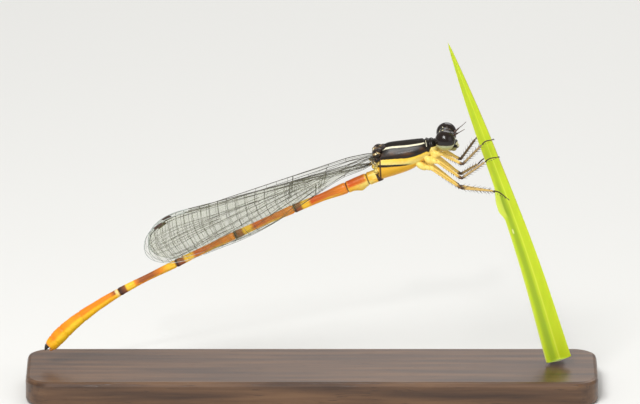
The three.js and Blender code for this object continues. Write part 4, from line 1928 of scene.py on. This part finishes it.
@dataclass
class Wing:
    """One folded wing: a clear membrane, its net of veins and its dark stigma.

    Attributes:
        pair: Fore or hind.
        root: The middle of its root, as [x, z].
        stigma: Where along it the stigma starts and ends.
        sag: How much lower its root sits than the right one.
        nodus: Where along it the nodus is.
        rim_from: Where the painted highlight round the tip, pale veins along the edges, takes over from the
            edge veins.
        start: Where its outline starts, a little before the root.
        bend_over: The length over which it leaves the root's spread for its own.
        first_rung: Where the cross-veins start.
        rung_gaps: The gap between cross-veins at the root and at the tip.
        veins: The long veins, each as its start and end along the wing, how far down the chord it lies at
            each of them, and how late it bends away.
    """

    pair: str
    side: Side
    root: Span
    length: float
    pitch: float
    root_spread: float
    spread: float
    stigma: Span
    sag: float = 0.0
    nodus: float = 0.335
    stem_to: float = 0.2
    radius_to: float = 0.965
    tip_from: float = 0.8
    tip_drop: float = -0.45
    # Past this way the edges are drawn as the painted highlight round the tip.
    rim_from: float = 0.79
    start: float = -0.026
    bend_over: float = 2.2
    pleat: float = 0.03
    steps: int = 96
    first_rung: float = 0.215
    rung_gaps: Span = (0.054, 0.031)
    sizes: VeinSizes = VeinSizes()
    veins: tuple[tuple[float, float, float, float, float], ...] = (
        (0.19, 0.985, 0.24, 0.30, 1.0), (0.50, 0.975, 0.255, 0.50, 1.3), (0.36, 0.96, 0.30, 0.70, 1.4),
        (0.27, 0.935, 0.36, 0.93, 1.5), (0.235, 0.83, 0.48, 1.0, 1.7), (0.235, 0.66, 0.62, 1.0, 1.6),
        (0.19, 0.44, 0.74, 1.0, 1.4), (0.68, 0.975, 0.40, 0.58, 1.2), (0.64, 0.93, 0.70, 0.90, 1.2),
    )

    def edges(self, way: float) -> Span:
        """Draws the wing's outline.

        Args:
            way: From the root, 0, to the tip, 1.

        Returns:
            The trailing and the leading edge, as heights over the wing's own axis.
        """
        rise = max(0.0, (way - 0.1) / 0.55)
        swell = math.sin(math.pi / 2 * min(1.0, rise)) ** 1.3
        trail, lead = -(0.2 + 2.0 * swell), 0.2 + 1.6 * way
        past = stretch(way, self.tip_from, 1.0)
        rounding = max(0.02, (1.0 - past**2.2) ** 0.5)
        narrow = mix(0.25, 1.0, ease(stretch(way, self.start, 0.03)))
        return mix(self.tip_drop, trail, rounding) * narrow, mix(self.tip_drop, lead, rounding) * narrow

    def spot(self, way: float, down: float, lift: float = 0.0) -> Vector:
        """Finds a place on the wing.

        Args:
            way: From the root, 0, to the tip, 1.
            down: From the leading edge, 0, to the trailing edge, 1.
            lift: Distance out from the membrane.

        Returns:
            The place in millimetres.
        """
        trail, lead = self.edges(way)
        along = down_pitch(self.pitch)
        up = Vector((along.z, 0.0, -along.x))
        bend = ease(way * self.length / self.bend_over)
        pleat = self.pleat * math.cos(down * 8.0 * math.pi) * (1.0 - min(max(way, 0.0), 1.0)) ** 0.5
        out = mix(self.root_spread, self.spread, bend) + pleat + lift
        root = Vector((self.root[0], 0.0, self.root[1] - self.sag))
        place = root + along * (way * self.length) + up * mix(lead, trail, down)
        return Vector((place.x, self.side.value * out, place.z))

    def down_at(self, vein: tuple[float, float, float, float, float], way: float) -> float | None:
        """Finds how far down the chord a long vein lies.

        Args:
            vein: The long vein.
            way: The way along the wing.

        Returns:
            The share of the chord, or None where the vein isn't.
        """
        start, end, high, low, late = vein
        if not start <= way <= end:
            return None
        return mix(high, low, ((way - start) / (end - start)) ** late)

    def radius_down(self, way: float) -> float:
        """How far down the chord the vein behind the leading edge runs."""
        trail, lead = self.edges(way)
        return min(0.24 / max(lead - trail, 0.3), 0.45)

    def net(self, name: str) -> Object:
        """Models the net of veins: both edges, the long veins and the cross-veins between them.

        Args:
            name: The net's name, which also seeds its small unevenness.

        Returns:
            The net.
        """
        net, sizes = VeinNet(), self.sizes
        ways = [mix(self.start, 1.0, k / self.steps) for k in range(self.steps + 1)]
        plain = [way for way in ways if way < self.rim_from]
        net.strand([self.spot(way, 0.0) for way in plain], sizes.leading)
        net.strand([self.spot(way, 1.0) for way in plain], sizes.trailing)
        radius = [way for way in ways if way <= self.radius_to]
        net.strand([self.spot(way, self.radius_down(way)) for way in radius], sizes.radius)
        shore = [way for way in ways if way <= self.nodus]
        slope = [self.radius_down(way) * mix(0.6, 0.1, stretch(way, 0.0, self.nodus)) for way in shore]
        net.strand([self.spot(way, down) for way, down in zip(shore, slope)], sizes.shore)
        stem = [way for way in ways if way <= self.stem_to]
        fall = [mix(0.7, 0.34, stretch(way, 0.0, self.stem_to)) for way in stem]
        net.strand([self.spot(way, down) for way, down in zip(stem, fall)], sizes.stem)
        for vein in self.veins:
            course = [vein[0], *(way for way in ways if vein[0] < way < vein[1]), vein[1]]
            net.strand([self.spot(way, self.down_at(vein, way)) for way in course], sizes.long)
        self.marks(net)
        self.rungs(net, random.Random(name))
        return meshed(name, net.corners, net.faces)

    def rim(self, name: str) -> Object:
        """Models the painted highlight round the wing's tip: pale veins along its edges that stand in for
        the light they catch.

        Args:
            name: The rim's name.

        Returns:
            The rim.
        """
        net, count = VeinNet(), 24
        ways = [mix(self.rim_from, 1.0, math.sin(k / count * math.pi / 2)) for k in range(count + 1)]
        net.strand([self.spot(way, 0.0) for way in ways], self.sizes.rim_above)
        net.strand([self.spot(way, 1.0) for way in ways], self.sizes.rim_below)
        net.strand([self.spot(1.0, k / 6) for k in range(7)], self.sizes.rim_tip)
        return meshed(name, net.corners, net.faces)

    def marks(self, net: VeinNet) -> None:
        """Adds the strong short veins: at the root, the slanted ones, the nodus and the stigma's ends.

        Args:
            net: The net under construction.
        """
        sizes = self.sizes
        for way in (0.112, 0.185):
            net.strand([self.spot(way, 0.0), self.spot(way, self.radius_down(way))], sizes.short)
        slants = ((self.nodus, 0.0, 0.366, 0.56, sizes.nodus), (0.192, 0.14, 0.222, 0.8, sizes.slant),
                  (0.236, 0.52, 0.25, 0.97, sizes.slant), (0.1, 0.8, 0.112, 1.0, sizes.short))
        for way, top, last, low, radii in slants:
            net.strand([self.spot(mix(way, last, k / 6), mix(top, low, k / 6)) for k in range(7)], radii)
        for end in self.stigma:
            net.strand([self.spot(end, 0.0), self.spot(end - 0.008, self.radius_down(end))], sizes.short)

    def rungs(self, net: VeinNet, draw: random.Random) -> None:
        """Adds the cross-veins in bowed columns that stand a little closer together towards the tip.

        Args:
            net: The net under construction.
            draw: The source of its small unevenness.
        """
        bow, limit = 0.02, 0.995
        way = self.first_rung
        while way < 0.985:
            lines = [self.radius_down(way), 1.0]
            lines += [down for down in (self.down_at(vein, way) for vein in self.veins) if down is not None]
            if way > self.nodus + 0.02 and not self.stigma[0] - 0.01 < way < self.stigma[1] + 0.01:
                lines.append(0.0)
            lines.sort()
            for high, low in zip(lines, lines[1:]):
                if low - high < 0.03 or (low - high > 0.34 and way < 0.3):
                    continue
                upper = bow * math.sin(high * math.pi)
                near = min(way + upper + draw.uniform(-0.003, 0.003), limit)
                last = min(near - upper + bow * math.sin(low * math.pi), limit)
                net.strand([self.spot(near, high), self.spot(last, low)], self.sizes.cross)
            way += mix(*self.rung_gaps, way)

    def film(self, name: str) -> Object:
        """Models the membrane, one thin sheet out to the edges.

        Args:
            name: The sheet's name.

        Returns:
            The sheet.
        """
        def place(way: float, angle: float) -> Vector:
            """A vertex of the sheet, drawn closer to the next towards the tip."""
            eased = way if way < 0.8 else 0.8 + 0.2 * math.sin((way - 0.8) / 0.2 * math.pi / 2)
            return self.spot(mix(self.start, 1.0, eased), angle / math.tau)

        return rolled(name, 24, 120, place, keep_open=True)

    def patch(self, name: str) -> Object:
        """Models the dark stigma near the tip, a small raised plate between the first two veins.

        Args:
            name: The plate's name.

        Returns:
            The plate.
        """
        def place(way: float, angle: float) -> Vector:
            """Places a vertex of the plate, on its outer or inner face.

            Args:
                way: The way along the plate.
                angle: The angle round it.

            Returns:
                The place.
            """
            along = mix(self.stigma[0], self.stigma[1], cosine_ease(way))
            across = 0.5 - 0.5 * math.cos(angle)
            lift = 0.035 * math.sin(angle) * min(1.0, min(way, 1.0 - way) * 12.0)
            return self.spot(along - 0.008 * across, across * self.radius_down(along), lift)

        return rolled(name, 16, 12, place)

    def build(self, film: Material, vein: Material, dark: Material, pale: Material) -> None:
        """Models the wing, dresses it and places it.

        Args:
            film: The membrane's finish.
            vein: The veins' horn.
            dark: The stigma's horn.
            pale: The pale horn of the painted highlight round the tip.
        """
        label = f"{self.pair}_{self.side.word}"
        pieces = [
            dressed(self.film(f"membrane_{label}"), film), dressed(self.net(f"veins_{label}"), vein),
            dressed(self.patch(f"stigma_{label}"), dark), dressed(self.rim(f"rim_{label}"), pale),
        ]
        wing = join(f"{self.pair}wing_{self.side.word}", pieces)
        placed(wing, "membrane", f"wing_{label}")


# The perch and its stand.


@dataclass
class Blade:
    """The cut blade of grass, folded along its midrib, with the small curl in its near edge.

    Attributes:
        spots: The blade's line as [x, z], from its cut foot to its tip.
        tip_power: How late it narrows towards the tip.
        curl_ways: Where along it the curl starts, is full, begins to fall and ends.
    """

    spots: tuple[Span, ...] = ((19.05, 2.35), (16.33, 11.4), (10.34, 28.05))
    foot_width: float = 2.0
    grip_width: float = 1.08
    grip_at: float = 0.64
    tip_width: float = 0.1
    tip_power: float = 1.6
    fold: float = 0.3
    thickness: float = 0.3
    curl_ways: tuple[float, float, float, float] = (0.447, 0.484, 0.5, 0.556)
    curl_out: float = 0.26
    rings: int = 200
    sides: int = 56

    def half_width(self, way: float) -> float:
        """Gives half the blade's width.

        Args:
            way: How far along the blade, from its foot.

        Returns:
            Half the width in millimetres.
        """
        body = mix(self.foot_width, self.grip_width, min(way / self.grip_at, 1.0))
        tip = max(0.0, (way - self.grip_at) / (1.0 - self.grip_at))
        return mix(body, self.tip_width, tip**self.tip_power) / 2

    def curl(self, way: float) -> float:
        """How far the curl pushes the near edge out."""
        low, full, fall, top = self.curl_ways
        return self.curl_out * ease(stretch(way, low, full)) * (1.0 - ease(stretch(way, fall, top)))

    def out(self, way: float, angle: float) -> float:
        """The share of the half width across the blade, from -1 at the near edge to 1 at the far one."""
        turn = math.cos(angle)
        return math.copysign(abs(turn) ** 0.85, turn)

    def place(self, way: float, angle: float) -> Vector:
        """Places a vertex of the blade.

        Args:
            way: How far along the blade, from its foot.
            angle: The angle round its flat section, from the far edge.

        Returns:
            The place in millimetres.
        """
        line = self.line
        ahead = (line(min(way + WAY_STEP, 1.0)) - line(max(way - WAY_STEP, 0.0))).normalized()
        across = Vector((ahead.z, 0.0, -ahead.x))
        half = self.half_width(way)
        out = self.out(way, angle)
        curl = self.curl(way) * max(0.0, -out) ** 2
        shut = min(1.0, way * 200.0, (1.0 - way) * 60.0)
        depth = self.fold * (half / self.foot_width) * 2 * (1.0 - abs(out)) - 0.5 * curl
        thick = self.thickness / 2 * math.sin(angle) * min(1.0, 0.3 + half * 2.5)
        place = line(way) + across * ((out * half - curl) * shut)
        return Vector((place.x, depth * shut + thick * shut, place.z))

    def build(self) -> None:
        """Models the blade and places it."""
        self.line = smooth_path([level_spot(spot) for spot in self.spots], even=True)
        marks = {"out": self.out, "way": lambda way, angle: way}
        blade = rolled("grass_blade", self.sides, self.rings, self.place, marks)
        placed(dressed(blade, Leaf().make()), "grass", "perch_blade")


@dataclass
class Stand:
    """The plain wooden base and the steel rod, which stay as the solids have them."""

    base: str = "stand_base"
    rod: str = "stand_rod"

    def dress(self, nodes: dict[str, Object]) -> None:
        """Gives both solids their finish.

        Args:
            nodes: The solids by name.
        """
        for name, finish in ((self.base, DarkWood()), (self.rod, BrushedSteel())):
            solid = nodes[name]
            solid.data.materials.clear()
            dressed(solid, finish.make())
            LOG.info("%s: dressed", name)


# The studio.


@dataclass(frozen=True)
class Lamp:
    """One square lamp that shines on the model.

    Attributes:
        at: Its place, in metres.
        size: Its width, in metres.
        power: Its power, in watts.
    """

    name: str
    at: Spot
    size: float
    power: float


@dataclass
class Studio:
    """The floor, the soft lights and the camera at the photograph's angle.

    Attributes:
        aim: The place in the middle of the picture, in millimetres.
        view_width: The width of the picture at that place, in millimetres.
        lens: The lens on a sensor 36 mm wide.
    """

    aim: Spot = (0.613, 0.0, 15.245)
    elevation: float = 18.0
    view_width: float = 49.04
    lens: float = 500.0
    sensor: float = 36.0
    clip: Span = (0.02, 30.0)
    floor_size: float = 8.0
    lamps: tuple[Lamp, ...] = (
        Lamp("key", (-0.06, -0.15, 0.22), 0.1, 0.52), Lamp("fill", (0.24, -0.14, 0.12), 0.2, 0.10),
        Lamp("rim", (0.05, 0.22, 0.2), 0.16, 0.22), Lamp("spark", (-0.02, -0.2, 0.17), 0.014, 0.09),
    )
    sky_colour: Colour = (1.0, 0.985, 0.96)
    sky_strength: float = 0.42

    def floor(self) -> None:
        """Lays the pale floor."""
        rest_hands()
        bpy.ops.mesh.primitive_plane_add(size=self.floor_size)
        ground = dressed(named("floor"), PalePaper().make())

    def camera(self) -> None:
        """Sets up the camera."""
        angle = math.radians(self.elevation)
        back = Vector((0.0, -math.cos(angle), math.sin(angle)))
        bpy.ops.object.camera_add()
        camera = bpy.context.object
        camera.name = "camera"
        camera.data.lens = self.lens
        camera.data.sensor_width = self.sensor
        camera.data.clip_start, camera.data.clip_end = self.clip
        camera.location = Vector(self.aim) * MM + back * (self.lens * self.view_width / self.sensor * MM)
        camera.rotation_mode = "QUATERNION"
        camera.rotation_quaternion = (-back).to_track_quat("-Z", "Y")
        bpy.context.scene.camera = camera

    def lights(self) -> None:
        """Hangs the lamps, each turned to the model."""
        aim = Vector(self.aim) * MM
        for plan in self.lamps:
            bpy.ops.object.light_add(type="AREA", location=plan.at)
            lamp = bpy.context.object
            lamp.name = plan.name
            lamp.data.size = plan.size
            lamp.data.energy = plan.power
            lamp.rotation_mode = "QUATERNION"
            lamp.rotation_quaternion = (aim - lamp.location).to_track_quat("-Z", "Y")

    def sky(self) -> None:
        """Paints the pale sky and keeps the colours as they are lit."""
        world = bpy.data.worlds.new("sky")
        world.use_nodes = True
        sky = world.node_tree.nodes["Background"]
        sky.inputs["Color"].default_value = (*self.sky_colour, 1.0)
        sky.inputs["Strength"].default_value = self.sky_strength
        bpy.context.scene.world = world
        bpy.context.scene.view_settings.view_transform = "Standard"

    def build(self) -> None:
        """Builds the whole studio."""
        self.floor()
        self.camera()
        self.lights()
        self.sky()


# The whole model.


@dataclass
class Damselfly:
    """The whole insect: its legs and wings as they are set on each side, and its body.

    Attributes:
        legs: Each leg's pair, its side, its hip, knee, ankle and claws, and how dark its shin is.
        pitches: Each wing's pair and side, and its pitch below level.
        fore: The forewings' root, length, spreads and stigma, as hind has the hindwings'.
    """

    legs: tuple[tuple[str, Side, tuple[Spot, ...], float], ...] = (
        ("front", Side.RIGHT,
         ((10.0, 0.66, 19.3), (11.5, 1.2, 18.66), (12.96, 0.85, 20.1), (13.74, 0.75, 20.48)), 0.52),
        ("front", Side.LEFT,
         ((10.0, 0.66, 19.26), (11.38, 1.05, 18.34), (12.5, 0.82, 20.05), (13.2, 0.75, 20.42)), 0.66),
        ("middle", Side.RIGHT,
         ((9.7, 0.72, 18.68), (11.42, 1.2, 17.52), (13.2, 0.85, 18.72), (14.16, 0.75, 19.08)), 0.46),
        ("middle", Side.LEFT,
         ((9.7, 0.72, 18.6), (11.4, 1.2, 17.11), (12.7, 0.85, 18.02), (13.75, 0.75, 18.75)), 0.5),
        ("hind", Side.RIGHT,
         ((9.22, 0.7, 18.14), (11.42, 1.3, 16.78), (13.86, 0.85, 16.42), (14.95, 0.75, 15.76)), 0.36),
        ("hind", Side.LEFT,
         ((9.18, 0.7, 18.0), (11.3, 1.1, 16.2), (13.76, 0.85, 15.86), (14.75, 0.75, 15.1)), 0.36),
    )
    pitches: tuple[tuple[str, Side, float], ...] = (
        ("fore", Side.RIGHT, 22.0), ("fore", Side.LEFT, 24.1),
        ("hind", Side.RIGHT, 19.9), ("hind", Side.LEFT, 20.6),
    )
    fore: tuple[Span, float, float, float, Span] = ((4.62, 19.08), 18.9, 0.84, 1.45, (0.894, 0.931))
    hind: tuple[Span, float, float, float, Span] = ((4.22, 18.34), 17.9, 0.55, 0.68, (0.872, 0.908))
    left_sag: float = 0.3

    def build_body(self) -> None:
        """Models the head, thorax and abdomen as one skin."""
        pieces = [*Thorax().build(), *Abdomen().build(), *Head().build()]
        body = join("body_skin", pieces)
        segments = [f"abdomen_{number:02d}" for number in range(1, 11)]
        placed(body, "orange_shell", "head", "prothorax", "thorax", *segments, "claspers")

    def build_legs(self) -> None:
        """Models all six legs."""
        skin, horn = LegSkin().make(), Horn("bristle_horn", (0.03, 0.018, 0.01)).make()
        for name, side, joints, dusk in self.legs:
            Leg(name, side, joints, dusk).build(skin, horn)

    def build_wings(self) -> None:
        """Models all four wings."""
        film = WingFilm().make()
        vein = Horn("vein_horn", (0.035, 0.03, 0.018)).make()
        dark = Horn("stigma_horn", (0.045, 0.02, 0.012), 0.3).make()
        # Pale grey horn for the painted highlight along the edges round the wing tips.
        pale = Horn("rim_horn", (0.34, 0.37, 0.35), 0.25).make()
        for pair, side, pitch in self.pitches:
            root, length, root_spread, spread, stigma = self.fore if pair == "fore" else self.hind
            sag = self.left_sag if side is Side.LEFT else 0.0
            wing = Wing(pair, side, root, length, pitch, root_spread, spread, stigma, sag)
            wing.build(film, vein, dark, pale)


def main() -> None:
    """Builds the whole scene."""
    logging.basicConfig(level=logging.INFO, format="%(message)s")
    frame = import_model()
    Studio().build()
    Stand().dress(frame["nodes"])
    Blade().build()
    insect = Damselfly()
    insect.build_body()
    insect.build_legs()
    insect.build_wings()


if __name__ == "__main__":
    main()
